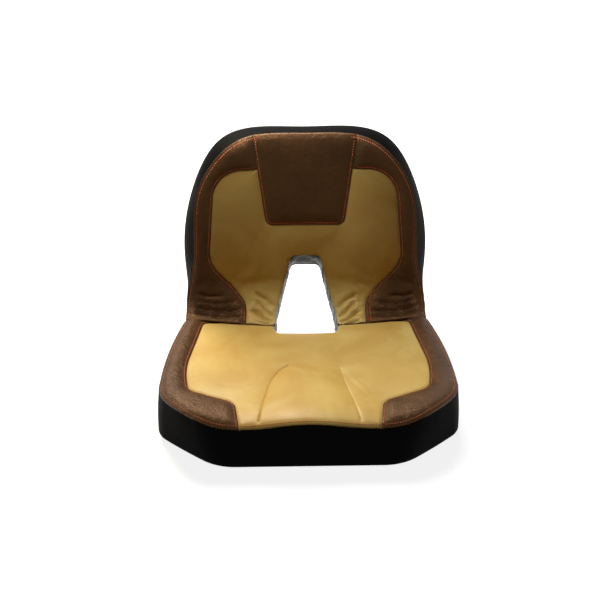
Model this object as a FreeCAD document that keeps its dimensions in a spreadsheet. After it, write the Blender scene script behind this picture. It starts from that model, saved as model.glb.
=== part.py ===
"""Ride-on mower seat: an upholstered bucket seat on a moulded pan (FreeCAD macro, millimetres).

Frame: the origin is the centre of the four mounting bolts, on the plane the pan's ribs and bosses rest on.
The sitter faces -Y, +X is to the right as seen from the front and +Z is up.
"""
import FreeCAD, Part
import math
import os
from FreeCAD import Placement, Rotation, Vector

doc = FreeCAD.newDocument("mower_seat")

# Driving sizes, in millimetres and degrees
SIZES = [
    # the seat seen from above, at its upper edge and at its foot
    ("seat_half_width", 250, "half of the widest point of the seat's upper edge"),
    ("seat_front", 200, "bolt centre to the seat's front edge"),
    ("seat_corner_radius", 108, "front corner of the upper edge"),
    ("base_half_width", 261, "half of the widest point of the seat's foot"),
    ("base_front", 216, "bolt centre to the front of the foot"),
    ("chamfer_side", 128, "bolt centre forward to where the foot's corner is cut off"),
    ("chamfer_front", 150, "half of the straight front of the foot"),
    ("chamfer_side_round", 34, "rounding at the side end of that cut"),
    ("chamfer_front_round", 90, "rounding at the front end of that cut"),
    ("seam_distance", 112, "bolt centre back to the seam between seat and back"),
    ("seam_half_width", 224, "half of the width at that seam"),
    # the crown of the seat cushion
    ("seam_height", 72, "cushion height at the middle of the seam"),
    ("seat_rise", 24, "how much higher the front of the cushion is"),
    ("front_roll", 40, "length of the rounded front edge"),
    ("front_drop", 7, "fall of the rounded front edge"),
    ("seat_dish", 17, "rise of the sides at the seam"),
    ("front_dish", 3, "rise of the sides at the front"),
    ("pommel_height", 4.5, "height of the wave along the front edge"),
    ("thigh_spacing", 113, "middle to the hollow for one thigh"),
    # the back rest
    ("recline_angle", 11, "lean of the back from upright"),
    ("bight_lead", 6, "flat cushion behind the seam, before the bend"),
    ("bight_radius", 75, "bend of the cushion between seat and back"),
    ("back_length", 276, "back rest above the bend, along its slope"),
    ("back_dish", 36, "how far the sides of the back come forward"),
    ("dish_blend", 200, "length over which the dish grows"),
    ("top_roll", 40, "length of the rounded top edge"),
    ("top_drop", 8, "fall of the rounded top edge"),
    ("front_waist", 208, "half width of the back's front edge, low"),
    ("front_shoulder", 195, "half width of the back's front edge, high"),
    ("rear_waist", 229, "half width of the back's rear edge, low"),
    ("rear_shoulder", 206, "half width of the back's rear edge, high"),
    ("front_crown", 140, "half width where the front edge's top arch starts"),
    ("front_crown_drop", 30, "fall of that arch from its middle to there"),
    ("front_top_drop", 11, "top edge of the cover below the top of the back"),
    ("rear_crown", 154, "half width where the rear edge's top arch starts"),
    ("rear_crown_drop", 19, "fall of that arch from its middle to there"),
    ("shoulder_drop", 101, "top of the back down to its shoulders"),
    ("waist_height", 50, "bend up to the waist of the back"),
    ("hip_depth", 61, "bend down to where the sides run straight"),
    # wall thicknesses
    ("cover_thickness", 5, "cover panel with its backing foam"),
    ("boxing_thickness", 3, "side band with its backing"),
    ("liner_thickness", 3, "sleeve through the opening"),
    ("hem_thickness", 3, "turned edge of the side band"),
    ("hem_width", 24, "how far the turned edge reaches under the pan"),
    # the staples of the hem
    ("staple_crown", 10, "width of one hem staple"),
    ("staple_wire", 0.8, "thickness of its wire"),
    ("staple_leg", 6.4, "length of its legs, through the hem and into the pan"),
    ("staple_inset", 15, "hem's fold to the row of staples"),
    ("staple_pitch", 62, "spacing of the staples"),
    # the pan
    ("pan_wall", 4, "wall of the moulding"),
    ("rib_depth", 10, "ribs below the base and behind the back"),
    ("rib_thickness", 3, "wall of one rib"),
    ("rib_pitch_x", 82, "spacing of the ribs that run front to back"),
    ("rib_pitch_y", 62, "spacing of the ribs that run across"),
    ("rib_pitch_back", 78, "spacing of the ribs across the back"),
    ("back_rib_low", 58, "bend up to the lowest of those"),
    ("pan_depth", 43, "back cushion's middle to the pan's inside face"),
    ("pan_radius", 890, "curve of the pan's back from side to side"),
    ("pan_corner", 40, "inside bend from base to back"),
    ("bolt_spacing_x", 206, "bolt centres across"),
    ("bolt_spacing_y", 248, "bolt centres front to back"),
    ("boss_radius", 15, "boss round one insert"),
    ("insert_flats", 13, "threaded insert across its flats"),
    ("insert_length", 12, "threaded insert from end to end"),
    ("insert_bore", 6.8, "thread of the insert, M8"),
    ("drain_radius", 6, "drain and vent holes through the pan"),
    # the cover panels
    ("seat_panel_rear", 190, "half width of the gold seat panel at the seam"),
    ("seat_panel_side", 213, "half width of the gold seat panel, widest"),
    ("seat_panel_front", 110, "half width of the gold seat panel at the front"),
    ("seat_panel_widest", 41, "bolt centre forward to that widest point"),
    ("seat_panel_step", 108, "bolt centre forward to the panel's outer step"),
    ("seat_panel_taper", 10, "how much narrower it is at that step than at its widest"),
    ("seat_panel_step_length", 28, "outer step forward to the inner one"),
    ("seat_panel_flare", 14, "how much wider it is at the inner step than at the front"),
    ("seat_panel_corner", 26, "width of the cut across its rear corner"),
    ("seat_panel_corner_round", 12, "rounding of that corner"),
    ("seat_panel_side_round", 260, "rounding at its widest point"),
    ("seat_panel_step_round", 24, "rounding at the outer step"),
    ("seat_panel_neck_round", 26, "rounding at the inner step"),
    ("leg_half_width", 112, "middle to the outer edge of a gold leg"),
    ("leg_top", 50, "bend down to where a gold leg widens into the panel"),
    ("leg_round", 30, "rounding there"),
    ("back_panel_side", 179, "half width of the gold back panel, widest"),
    ("back_panel_widest", 34, "bend up to that widest point"),
    ("back_panel_side_round", 60, "rounding there"),
    ("back_panel_head", 164, "half width of the gold back panel at its top"),
    ("back_panel_top", 207, "bend to the top of the gold back panel"),
    ("back_panel_head_round", 52, "rounding of its top corners"),
    ("headrest_foot", 73, "half width of the headrest panel at its foot"),
    ("headrest_head", 96, "half width of the headrest panel at its top"),
    ("headrest_low", 100, "bend to the foot of the headrest panel"),
    ("headrest_round", 16, "rounding of its lower corners"),
    # the opening between seat and back
    ("opening_front", 88, "bolt centre back to the opening's front edge, a notch in the seat"),
    ("opening_foot", 60, "half width of the opening at that edge"),
    ("opening_waist", 57, "half width where its sides start to close in"),
    ("opening_upright", 50, "front edge up to there, square to the opening"),
    ("opening_head", 27, "half width of the opening at its top"),
    ("opening_top", 172, "height of the opening's top in the cushion's face"),
    ("opening_slope", 47, "fall of the opening towards the rear"),
    ("opening_round", 12, "rounding of the opening's corners"),
    ("opening_side_round", 120, "rounding where its sides start to close in"),
]

sheet = doc.addObject("Spreadsheet::Sheet", "Sizes")
for row, (alias, value, note) in enumerate(SIZES, start=1):
    sheet.set("A%d" % row, note)
    sheet.set("B%d" % row, str(value))
    sheet.setAlias("B%d" % row, alias)
doc.recompute()


def size(alias):
    """The number in the named cell of the sheet."""
    return float(sheet.get(alias))


# Document helpers
def feature(label, shape):
    """Keep a shape that Part's own functions made as an object of the document."""
    made = doc.addObject("Part::Feature", label)
    made.Shape = shape
    return made


def common(label, *parts):
    made = doc.addObject("Part::MultiCommon", label)
    made.Shapes = list(parts)
    doc.recompute()
    return made


def fuse(label, *parts):
    made = doc.addObject("Part::MultiFuse", label)
    made.Shapes = list(parts)
    made.Refine = True
    doc.recompute()
    return made


def cut(label, base, *tools):
    tool = tools[0] if len(tools) == 1 else fuse(label + "_tools", *tools)
    made = doc.addObject("Part::Cut", label)
    made.Base = base
    made.Tool = tool
    doc.recompute()
    return made


def spread(first, last, count):
    return [first + (last - first) * i / (count - 1) for i in range(count)]


# Cushion surfaces
SEAM = size("seam_distance")
SEAM_HALF = size("seam_half_width")
BIGHT = size("bight_radius")
TURN = math.radians(90 - size("recline_angle"))
LEAD = size("bight_lead")
BEND_LENGTH = LEAD + BIGHT * TURN
BEND_END = Vector(0, SEAM + LEAD + BIGHT * math.sin(TURN), size("seam_height") + BIGHT * (1 - math.cos(TURN)))
UP_BACK = Vector(0, math.cos(TURN), math.sin(TURN))
OUT_BACK = Vector(0, -math.sin(TURN), math.cos(TURN))


def seat_height(x, y):
    """Height of the seat cover: it rises to the front, dips for the thighs and rolls over the front edge."""
    share = (SEAM - y) / (SEAM + size("seat_front"))
    rolled = max(0.0, size("front_roll") - (y + size("seat_front"))) / size("front_roll")
    dish = size("seat_dish") + (size("front_dish") - size("seat_dish")) * share
    wave = size("pommel_height") * math.cos(math.pi * x / size("thigh_spacing"))
    return (size("seam_height") + (size("seat_rise") + wave) * share ** 2
            - size("front_drop") * rolled ** 2 + dish * (x / SEAM_HALF) ** 2)


def back_point(x, along, depth):
    """Point of the back, at a path length from the seam and a depth below the cover's face."""
    angle = min(max(along - LEAD, 0.0) / BIGHT, TURN)
    point = Vector(0, SEAM + min(along, LEAD) + BIGHT * math.sin(angle),
                   size("seam_height") + BIGHT * (1 - math.cos(angle)))
    if along > BEND_LENGTH:
        point = point + UP_BACK * (along - BEND_LENGTH)
    blend = min(1.0, along / size("dish_blend"))
    blend = blend * blend * (3 - 2 * blend)
    dish = size("seat_dish") + (size("back_dish") - size("seat_dish")) * blend
    roll_start = BEND_LENGTH + size("back_length") - size("top_roll")
    rolled = max(0.0, along - roll_start) / size("top_roll")
    lift = dish * (x / SEAM_HALF) ** 2 - size("top_drop") * rolled ** 2 - depth
    point = point + Vector(0, -math.sin(angle), math.cos(angle)) * lift
    return Vector(x, point.y, point.z)


def back_plane(x, up, out):
    """Point in the back's own flat frame: up along its slope from the bend's end, out towards the sitter."""
    point = BEND_END + UP_BACK * up + OUT_BACK * out
    return Vector(x, point.y, point.z)


def surface(grid):
    made = Part.BSplineSurface()
    made.interpolate(grid)
    return made.toShape()


def dished_surface(middles, rims, stations, reach):
    """Face with a parabola from side to side at each station, given its middle point and its rims' point."""
    rows = []
    for x, points in ((-reach, rims), (0, [2 * m - r for m, r in zip(middles, rims)]), (reach, rims)):
        curve = Part.BSplineCurve()
        curve.interpolate(Points=[Vector(x, p.y, p.z) for p in points], Parameters=stations)
        rows.append(curve)
    made = Part.BSplineSurface()
    made.buildFromPolesMultsKnots([curve.getPoles() for curve in rows], [3, 3], rows[0].getMultiplicities(),
                                  [0.0, 1.0], rows[0].getKnots(), False, False, 2, rows[0].Degree)
    return made.toShape()


def closed_between(upper, lower):
    """Solid between two faces that have matching edges."""
    sides = [Part.makeRuledSurface(a, b) for a, b in
             zip(upper.OuterWire.OrderedEdges, lower.OuterWire.OrderedEdges)]
    shell = Part.makeShell([upper, lower] + sides)
    shell.sewShape()
    solid = Part.makeSolid(Part.Shell(shell.Faces))
    if solid.Volume < 0:
        solid.reverse()
    return solid


# The surfaces run past the outlines that trim them, and the blocks below them run past the pan.
# FAR is further from the origin than any point of the seat.
REACH = 1.12 * size("base_half_width")
PAST_FRONT, PAST_SEAM = 30, 20
DEEP = 170
FAR = 450
SEAT_COLUMNS, SEAT_ROWS = 13, 9
seat_face = surface([[Vector(x, y, seat_height(x, y))
                      for y in spread(-size("base_front") - PAST_FRONT, SEAM + PAST_SEAM, SEAT_ROWS)]
                     for x in spread(-REACH, REACH, SEAT_COLUMNS)])
seat_skin = feature("seat_skin", seat_face.extrude(Vector(0, 0, -size("cover_thickness"))))
seat_below = feature("seat_below",
                     seat_face.translated(Vector(0, 0, -size("cover_thickness"))).extrude(Vector(0, 0, -DEEP)))

ROLL_START = BEND_LENGTH + size("back_length") - size("top_roll")
ROLL_END = BEND_LENGTH + size("back_length") + size("top_roll")
ROWS = 4
STATIONS = ([0.0] + spread(LEAD, BEND_LENGTH, ROWS) + spread(BEND_LENGTH, ROLL_START, ROWS)[1:]
            + spread(ROLL_START, ROLL_END, ROWS)[1:])


def back_face(depth):
    return dished_surface([back_point(0, along, depth) for along in STATIONS],
                          [back_point(REACH, along, depth) for along in STATIONS], STATIONS, REACH)


back_skin = feature("back_skin", closed_between(back_face(0), back_face(size("cover_thickness"))))
back_below = feature("back_below", closed_between(back_face(size("cover_thickness")), back_face(DEEP)))


# Outlines, as solids that trim the pieces. They are drawn at levels outside the cushion and the pan.
FOOT_LEVEL, EDGE_LEVEL = -20, 135
FRONT_LEVELS, REAR_LEVELS = (150, 22), (-20, -90)
SIDE_BOW = 0.25
CORNER_TURNS = (0, 25, 62, 90)
CHAMFER_INSET = 0.4
CROWN_INSET_X, CROWN_INSET_UP = 0.5, 0.8


def seat_side(sign, half_width, start_y, rear, height):
    """One side of the seat outline, bowed from the seam to where the front corner starts."""
    middle = Vector(sign * (half_width - SIDE_BOW * (half_width - rear)), (SEAM + start_y) / 2, height)
    return Part.Arc(Vector(sign * rear, SEAM, height), middle, Vector(sign * half_width, start_y, height)).toShape()


def seat_wire(corner, half_width, front, height, inset):
    """Seat outline seen from above, with its right front corner given as a start and three edges."""
    rear = SEAM_HALF - inset
    start_y, edges = corner
    right = [seat_side(1, half_width, start_y, rear, height)] + edges
    left = [edge.mirror(Vector(), Vector(1, 0, 0)) for edge in right]
    last = edges[-1].BoundBox.XMin
    across = [Part.makeLine(Vector(-rear, SEAM, height), Vector(rear, SEAM, height)),
              Part.makeLine(Vector(last, -front, height), Vector(-last, -front, height))]
    return Part.Wire(Part.__sortEdges__(right + left + across))


def head_wire(height, inset):
    """Upper edge of the seat, its round corner drawn as three arcs so that it pairs with the foot."""
    half_width, front = size("seat_half_width") - inset, size("seat_front") - inset
    radius = size("seat_corner_radius") - inset
    centre = Vector(half_width - radius, radius - front, height)

    def at(degrees):
        turn = math.radians(degrees)
        return centre + Vector(math.cos(turn), -math.sin(turn), 0) * radius
    edges = [Part.Arc(at(a), at((a + b) / 2), at(b)).toShape() for a, b in zip(CORNER_TURNS, CORNER_TURNS[1:])]
    return seat_wire((centre.y, edges), half_width, front, height, inset)


def foot_wire(height, inset):
    """Foot of the seat, its corner cut off straight between two roundings."""
    half_width, front = size("base_half_width") - inset, size("base_front") - inset
    moved = CHAMFER_INSET * inset
    corner = [Vector(half_width, 0, height), Vector(half_width, moved - size("chamfer_side"), height),
              Vector(size("chamfer_front") - moved, -front, height), Vector(0, -front, height)]
    ends = []
    for i, radius in ((1, size("chamfer_side_round")), (2, size("chamfer_front_round"))):
        to_last = (corner[i - 1] - corner[i]).normalize()
        to_next = (corner[i + 1] - corner[i]).normalize()
        half = to_last.getAngle(to_next) / 2
        run = radius / math.tan(half)
        middle = corner[i] + (to_last + to_next).normalize() * (radius / math.sin(half) - radius)
        ends.append((corner[i] + to_last * run, middle, corner[i] + to_next * run))
    edges = [Part.Arc(*ends[0]).toShape(), Part.makeLine(ends[0][2], ends[1][0]), Part.Arc(*ends[1]).toShape()]
    return seat_wire((ends[0][0].y, edges), half_width, front, height, inset)


def seat_envelope(inset):
    """Body of the seat from its foot to above its cushion."""
    return Part.makeLoft([foot_wire(FOOT_LEVEL, inset), head_wire(EDGE_LEVEL, inset)], True, True)


def back_wire(edge, out, inset):
    """Back outline in the back's own frame: one smooth curve over the shoulders, straight below the hips."""
    tall = size("back_length")
    half = [(SEAM_HALF - inset, -size("hip_depth")),
            (size(edge + "_waist") - inset, size("waist_height")),
            (size(edge + "_shoulder") - inset, tall - size("shoulder_drop")),
            (size(edge + "_crown") - inset * CROWN_INSET_X,
             tall - size(edge + "_crown_drop") - inset * CROWN_INSET_UP),
            (0, tall - (size("front_top_drop") if edge == "front" else 0) - inset)]
    loop = [(-x, up) for x, up in half] + half[-2::-1]
    curve = Part.BSplineCurve()
    curve.interpolate(Points=[back_plane(x, up, out) for x, up in loop],
                      InitialTangent=UP_BACK, FinalTangent=UP_BACK * -1)
    right, left = half[0][0], -half[0][0]
    low = -tall
    return Part.Wire([curve.toShape(),
                      Part.makeLine(back_plane(right, half[0][1], out), back_plane(right, low, out)),
                      Part.makeLine(back_plane(right, low, out), back_plane(left, low, out)),
                      Part.makeLine(back_plane(left, low, out), back_plane(left, half[0][1], out))])


def back_envelope(inset):
    """Body of the back, from in front of its cushion to behind the pan."""
    front = [back_wire("front", out, inset) for out in FRONT_LEVELS]
    rear = [back_wire("rear", out, inset) for out in REAR_LEVELS]
    return Part.makeLoft(front + rear, True, True)


def bucket(offset):
    """Everything above the base and in front of the back at an offset outside the pan's inside faces."""
    radius = size("pan_radius") + offset
    floor = size("rib_depth") + size("pan_wall") - offset
    centre = back_plane(0, -FAR, size("pan_radius") - size("pan_depth"))
    drum = Part.makeCylinder(radius, 2 * FAR, centre, UP_BACK)
    above = Part.makeBox(2 * FAR, 2 * FAR, 2 * FAR, Vector(-FAR, -FAR, floor))
    solid = drum.common(above)
    bend = [edge for edge in solid.Edges
            if len(edge.Vertexes) == 2 and abs(edge.CenterOfMass.z - floor) < 0.01
            and edge.CenterOfMass.y > SEAM and not isinstance(edge.Curve, Part.Line)]
    return solid.makeFillet(size("pan_corner") + offset, bend)


WALL = size("pan_wall")
seat_outer = feature("seat_outer", seat_envelope(0))
seat_inner = feature("seat_inner", seat_envelope(size("boxing_thickness")))
seat_hem_gap = feature("seat_hem_gap", seat_envelope(size("boxing_thickness") + size("hem_width")))
back_outer = feature("back_outer", back_envelope(0))
back_inner = feature("back_inner", back_envelope(size("boxing_thickness")))
back_hem_gap = feature("back_hem_gap", back_envelope(size("boxing_thickness") + size("hem_width")))
pan_inside = feature("pan_inside", bucket(0))
pan_outside = feature("pan_outside", bucket(WALL))
hem_outside = feature("hem_outside", bucket(WALL + size("hem_thickness")))
rib_outside = feature("rib_outside", bucket(WALL + size("rib_depth")))
behind_seam = doc.addObject("Part::Box", "behind_seam")
behind_seam.Length, behind_seam.Width, behind_seam.Height = 2 * FAR, FAR, 2 * FAR
behind_seam.Placement.Base = Vector(-FAR, 0, -FAR)
behind_seam.setExpression("Placement.Base.y", "Sizes.seam_distance")


def rounded(corners, place):
    """Closed wire through (a, b, radius) corners, each rounded by its radius and placed by a function."""
    edges, ends = [], []
    count = len(corners)
    for i, (a, b, radius) in enumerate(corners):
        here = Vector(a, b, 0)
        to_last = (Vector(*corners[i - 1][:2], 0) - here).normalize()
        to_next = (Vector(*corners[(i + 1) % count][:2], 0) - here).normalize()
        half = to_last.getAngle(to_next) / 2
        if radius == 0 or math.pi / 2 - half < 1e-4:
            ends.append((here, here, None))
            continue
        run = radius / math.tan(half)
        bisector = (to_last + to_next).normalize()
        middle = here + bisector * (radius / math.sin(half) - radius)
        ends.append((here + to_last * run, here + to_next * run, middle))
    for i, (start, stop, middle) in enumerate(ends):
        if middle is not None:
            edges.append(Part.Arc(*[place(p.x, p.y) for p in (start, middle, stop)]).toShape())
        edges.append(Part.makeLine(place(stop.x, stop.y), place(ends[(i + 1) % count][0].x,
                                                                ends[(i + 1) % count][0].y)))
    return Part.Wire(edges)


def prism(wire, direction):
    return Part.Face(wire).extrude(direction)


def mirrored(half):
    """Both halves of an outline whose right half runs from the middle round to the middle."""
    return half + [(-a, b, radius) for a, b, radius in reversed(half)]


CORNER_BEHIND, CORNER_AHEAD = 1, 6
panel_rear = size("seat_panel_rear")
panel_side = size("seat_panel_side")
panel_front = size("seat_panel_front")
panel_step = size("seat_panel_step")
seat_gold_zone = feature("seat_gold_zone", prism(rounded(mirrored([
    (panel_rear - size("seat_panel_corner"), FAR, 0),
    (panel_rear - size("seat_panel_corner"), SEAM + CORNER_BEHIND, 0),
    (panel_rear, SEAM - CORNER_AHEAD, size("seat_panel_corner_round")),
    (panel_side, -size("seat_panel_widest"), size("seat_panel_side_round")),
    (panel_side - size("seat_panel_taper"), -panel_step, size("seat_panel_step_round")),
    (panel_front + size("seat_panel_flare"), -panel_step - size("seat_panel_step_length"),
     size("seat_panel_neck_round")),
    (panel_front, -size("base_front") - PAST_FRONT, 0),
]), lambda a, b: Vector(a, b, -FAR)), Vector(0, 0, 2 * FAR)))

back_gold_zone = feature("back_gold_zone", prism(rounded(mirrored([
    (size("leg_half_width"), -FAR, 0),
    (size("leg_half_width"), -size("leg_top"), size("leg_round")),
    (size("back_panel_side"), size("back_panel_widest"), size("back_panel_side_round")),
    (size("back_panel_head"), size("back_panel_top"), size("back_panel_head_round")),
]), lambda a, b: back_plane(a, b, -FAR)), OUT_BACK * 2 * FAR))

HEADREST_SLOPE = (size("headrest_head") - size("headrest_foot")) / (size("back_length") - size("headrest_low"))
headrest_zone = feature("headrest_zone", prism(rounded(mirrored([
    (size("headrest_foot"), size("headrest_low"), size("headrest_round")),
    (size("headrest_head") + size("top_roll") * HEADREST_SLOPE, size("back_length") + size("top_roll"), 0),
]), lambda a, b: back_plane(a, b, -FAR)), OUT_BACK * 2 * FAR))


def opening(margin):
    """The opening, larger by a margin on every side. It falls towards the rear and is drawn square to that."""
    turn = math.radians(size("opening_slope"))
    across, ahead = Vector(0, math.sin(turn), math.cos(turn)), Vector(0, math.cos(turn), -math.sin(turn))
    top_y = BEND_END.y + UP_BACK.y * (size("opening_top") - BEND_END.z) / UP_BACK.z
    low = Vector(0, size("opening_front"), seat_height(0, size("opening_front"))).dot(across)
    high = Vector(0, top_y, size("opening_top")).dot(across)
    outline = rounded(mirrored([
        (size("opening_foot") + margin, low - margin, size("opening_round") + margin),
        (size("opening_waist") + margin, low + size("opening_upright"), size("opening_side_round")),
        (size("opening_head") + margin, high + margin, size("opening_round") + margin),
    ]), lambda a, b: Vector(a, 0, 0) + across * b)
    return prism(outline.translated(ahead * -FAR), ahead * 2 * FAR)


opening_gap = feature("opening_gap", opening(0))
opening_hole = feature("opening_hole", opening(size("liner_thickness")))

# Seat pan: base plate and back shell in one moulding, ribs below and behind, four bosses
wall_solid = cut("pan_wall_solid", pan_outside, pan_inside)
base_wall = common("pan_base_wall", wall_solid, seat_inner)
back_wall = common("pan_back_wall", wall_solid, back_inner, behind_seam)

BELOW = 20
RIB_OVERLAP = 2
CENTRE_RIB_PAST = 50
BACK_RIB_REACH = 140
rib_bars = []
for i in range(-2, 3):
    bar = doc.addObject("Part::Box", "long_rib_%d" % (i + 3))
    bar.Width, bar.Height = 2 * FAR, 2 * FAR
    if i == 0:
        bar.setExpression("Width", "%d + Sizes.opening_front" % (FAR + CENTRE_RIB_PAST))
    bar.setExpression("Length", "Sizes.rib_thickness")
    bar.Placement.Base = Vector(0, -FAR, -BELOW)
    bar.setExpression("Placement.Base.x", "%d * Sizes.rib_pitch_x - Sizes.rib_thickness / 2" % i)
    rib_bars.append(bar)
for i in range(-2, 3):
    bar = doc.addObject("Part::Box", "cross_rib_%d" % (i + 3))
    bar.Length = 2 * FAR
    bar.Placement.Base = Vector(-FAR, 0, -BELOW)
    bar.setExpression("Width", "Sizes.rib_thickness")
    bar.setExpression("Height", "Sizes.rib_depth + %d" % (BELOW + RIB_OVERLAP))
    bar.setExpression("Placement.Base.y", "%d * Sizes.rib_pitch_y - Sizes.rib_thickness / 2" % i)
    rib_bars.append(bar)
for i in range(3):
    bar = doc.addObject("Part::Box", "back_rib_%d" % (i + 1))
    bar.Length, bar.Width = 2 * FAR, BACK_RIB_REACH
    bar.setExpression("Height", "Sizes.rib_thickness")
    bar.Placement = Placement(back_plane(-FAR, size("back_rib_low") + i * size("rib_pitch_back"), 0),
                              Rotation(Vector(1, 0, 0), -size("recline_angle")))
    rib_bars.append(bar)
rib_zone = cut("rib_zone", rib_outside, pan_outside)
rib_grid = fuse("rib_grid", *rib_bars)
base_ribs = common("base_ribs", rib_zone, rib_grid, seat_hem_gap)
back_ribs = common("back_ribs", rib_zone, rib_grid, back_hem_gap, behind_seam)

BOLTS = [(a, b) for a in (-1, 1) for b in (-1, 1)]


def at_bolt(made, a, b):
    """Put an object on the axis of one of the four bolts."""
    made.setExpression("Placement.Base.x", "%d * Sizes.bolt_spacing_x / 2" % a)
    made.setExpression("Placement.Base.y", "%d * Sizes.bolt_spacing_y / 2" % b)
    return made


bosses, pockets, drains = [], [], []
for i, (a, b) in enumerate(BOLTS):
    boss = doc.addObject("Part::Cylinder", "boss_%d" % (i + 1))
    boss.setExpression("Radius", "Sizes.boss_radius")
    boss.setExpression("Height", "Sizes.rib_depth + Sizes.pan_wall / 2")
    bosses.append(at_bolt(boss, a, b))
    pocket = doc.addObject("Part::Prism", "insert_pocket_%d" % (i + 1))
    pocket.Polygon = 6
    pocket.setExpression("Circumradius", "Sizes.insert_flats / sqrt(3)")
    pocket.setExpression("Height", "Sizes.insert_length")
    pockets.append(at_bolt(pocket, a, b))
    drain = doc.addObject("Part::Cylinder", "drain_%d" % (i + 1))
    drain.Height = 4 * BELOW
    drain.Placement.Base = Vector(0, 0, -BELOW)
    drain.setExpression("Radius", "Sizes.drain_radius")
    drain.setExpression("Placement.Base.x", "%d * Sizes.rib_pitch_x / 2" % a)
    drain.setExpression("Placement.Base.y", "%d * Sizes.rib_pitch_y / 2" % b)
    drains.append(drain)
doc.recompute()
moulding = fuse("pan_moulding", base_wall, back_wall, base_ribs, back_ribs, *bosses)
bored_pan = cut("bored_pan", moulding, opening_hole, *(pockets + drains))

# Threaded inserts: one hexagonal bush drawn as a body, set in each boss
insert_bodies = []
for i, (a, b) in enumerate(BOLTS):
    blank = doc.addObject("Part::Prism", "insert_blank_%d" % (i + 1))
    blank.Polygon = 6
    blank.setExpression("Circumradius", "Sizes.insert_flats / sqrt(3)")
    blank.setExpression("Height", "Sizes.insert_length")
    bore = doc.addObject("Part::Cylinder", "insert_bore_%d" % (i + 1))
    bore.setExpression("Radius", "Sizes.insert_bore / 2")
    bore.setExpression("Height", "Sizes.insert_length")
    doc.recompute()
    insert_bodies.append(cut("insert_%d" % (i + 1), at_bolt(blank, a, b), at_bolt(bore, a, b)))

# Hem staples: one wire staple, set along the hems below the base and behind the back
STAPLE_WIRES = [
    ("staple_bar", "Sizes.staple_crown", "Sizes.staple_wire", "-Sizes.staple_crown / 2"),
    ("staple_leg_left", "Sizes.staple_wire", "Sizes.staple_leg + Sizes.staple_wire", "-Sizes.staple_crown / 2"),
    ("staple_leg_right", "Sizes.staple_wire", "Sizes.staple_leg + Sizes.staple_wire",
     "Sizes.staple_crown / 2 - Sizes.staple_wire"),
]
staple_parts = []
for name, length, height, start in STAPLE_WIRES:
    wire = doc.addObject("Part::Box", name)
    wire.setExpression("Length", length)
    wire.setExpression("Width", "Sizes.staple_wire")
    wire.setExpression("Height", height)
    wire.setExpression("Placement.Base.x", start)
    wire.setExpression("Placement.Base.y", "-Sizes.staple_wire / 2")
    wire.setExpression("Placement.Base.z", "-Sizes.staple_wire")
    staple_parts.append(wire)
staple = fuse("staple", *staple_parts)
staple_holes = fuse("staple_holes", *staple_parts[1:])
HEM = WALL + size("hem_thickness")
PITCH = size("staple_pitch")


def meet(wire, start, stop):
    """Point of a wire on a line that crosses it."""
    return wire.distToShape(Part.makeLine(start, stop))[1][0][0]


def stapled(label, places):
    """Staples and their leg holes at points of a hem, each with the direction of its bar and of its legs."""
    made, holes = [], []
    for i, (point, bar, legs) in enumerate(places):
        for sign in (-1, 1):
            flip = Vector(sign * point.x, point.y, point.z)
            along, into = Vector(sign * bar.x, bar.y, bar.z), Vector(sign * legs.x, legs.y, legs.z)
            place = Placement(flip, Rotation(along, into.cross(along), into, "ZXY"))
            number = 2 * i + (sign > 0) + 1
            for name, source, group in ((label, staple, made), (label + "_hole", staple_holes, holes)):
                copy = source.Shape.copy()
                copy.Placement = place
                group.append(feature("%s_%d" % (name, number), copy))
    return made, holes


# Under the seat: three staples along each side, one at each cut-off corner and four across the front
UP = Vector(0, 0, 1)
hem_z = size("rib_depth") - size("hem_thickness")
seat_row = seat_envelope(size("staple_inset")).slice(UP, hem_z)[0]
side_end = Vector(size("base_half_width"), -size("chamfer_side"), 0)
front_end = Vector(size("chamfer_front"), -size("base_front"), 0)
corner_way = side_end + front_end + UP * hem_z
seat_places = [(meet(seat_row, Vector(BELOW, y, hem_z), Vector(FAR, y, hem_z)), Vector(0, 1, 0), UP)
               for y in (PITCH, 0, -PITCH)]
seat_places += [(meet(seat_row, Vector(x, -BELOW, hem_z), Vector(x, -FAR, hem_z)), Vector(1, 0, 0), UP)
                for x in (PITCH / 2, PITCH * 1.5)]
seat_places.append((meet(seat_row, UP * hem_z, corner_way), (side_end - front_end).normalize(), UP))
seat_staples, seat_holes = stapled("seat_staple", seat_places)

# Behind the back: three staples up each side and four across the top
back_row = back_wire("rear", 0, size("staple_inset"))
back_places = []
for up, across in [(PITCH * k, None) for k in range(3)] + [(None, PITCH / 2), (None, PITCH * 1.5)]:
    if across is None:
        point = meet(back_row, back_plane(BELOW, up, 0), back_plane(FAR, up, 0))
    else:
        point = meet(back_row, back_plane(across, BELOW, 0), back_plane(across, FAR, 0))
    shell = size("pan_radius") + HEM
    rise = math.sqrt(shell ** 2 - point.x ** 2)
    point = point + OUT_BACK * (size("pan_radius") - size("pan_depth") - rise)
    legs = Vector(-point.x / shell, 0, 0) + OUT_BACK * (rise / shell)
    bar = UP_BACK if across is None else UP_BACK.cross(legs)
    back_places.append((point, bar, legs))
back_staples, back_holes = stapled("back_staple", back_places)

seat_pan = cut("seat_pan", bored_pan, *(seat_holes + back_holes))

# Foam: one block on the base, one inverted U on the back
seat_foam = cut("seat_foam", common("seat_foam_block", seat_below, seat_inner, pan_inside), opening_hole)
back_foam = cut("back_foam", common("back_foam_block", back_below, back_inner, pan_inside), opening_hole)

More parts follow.
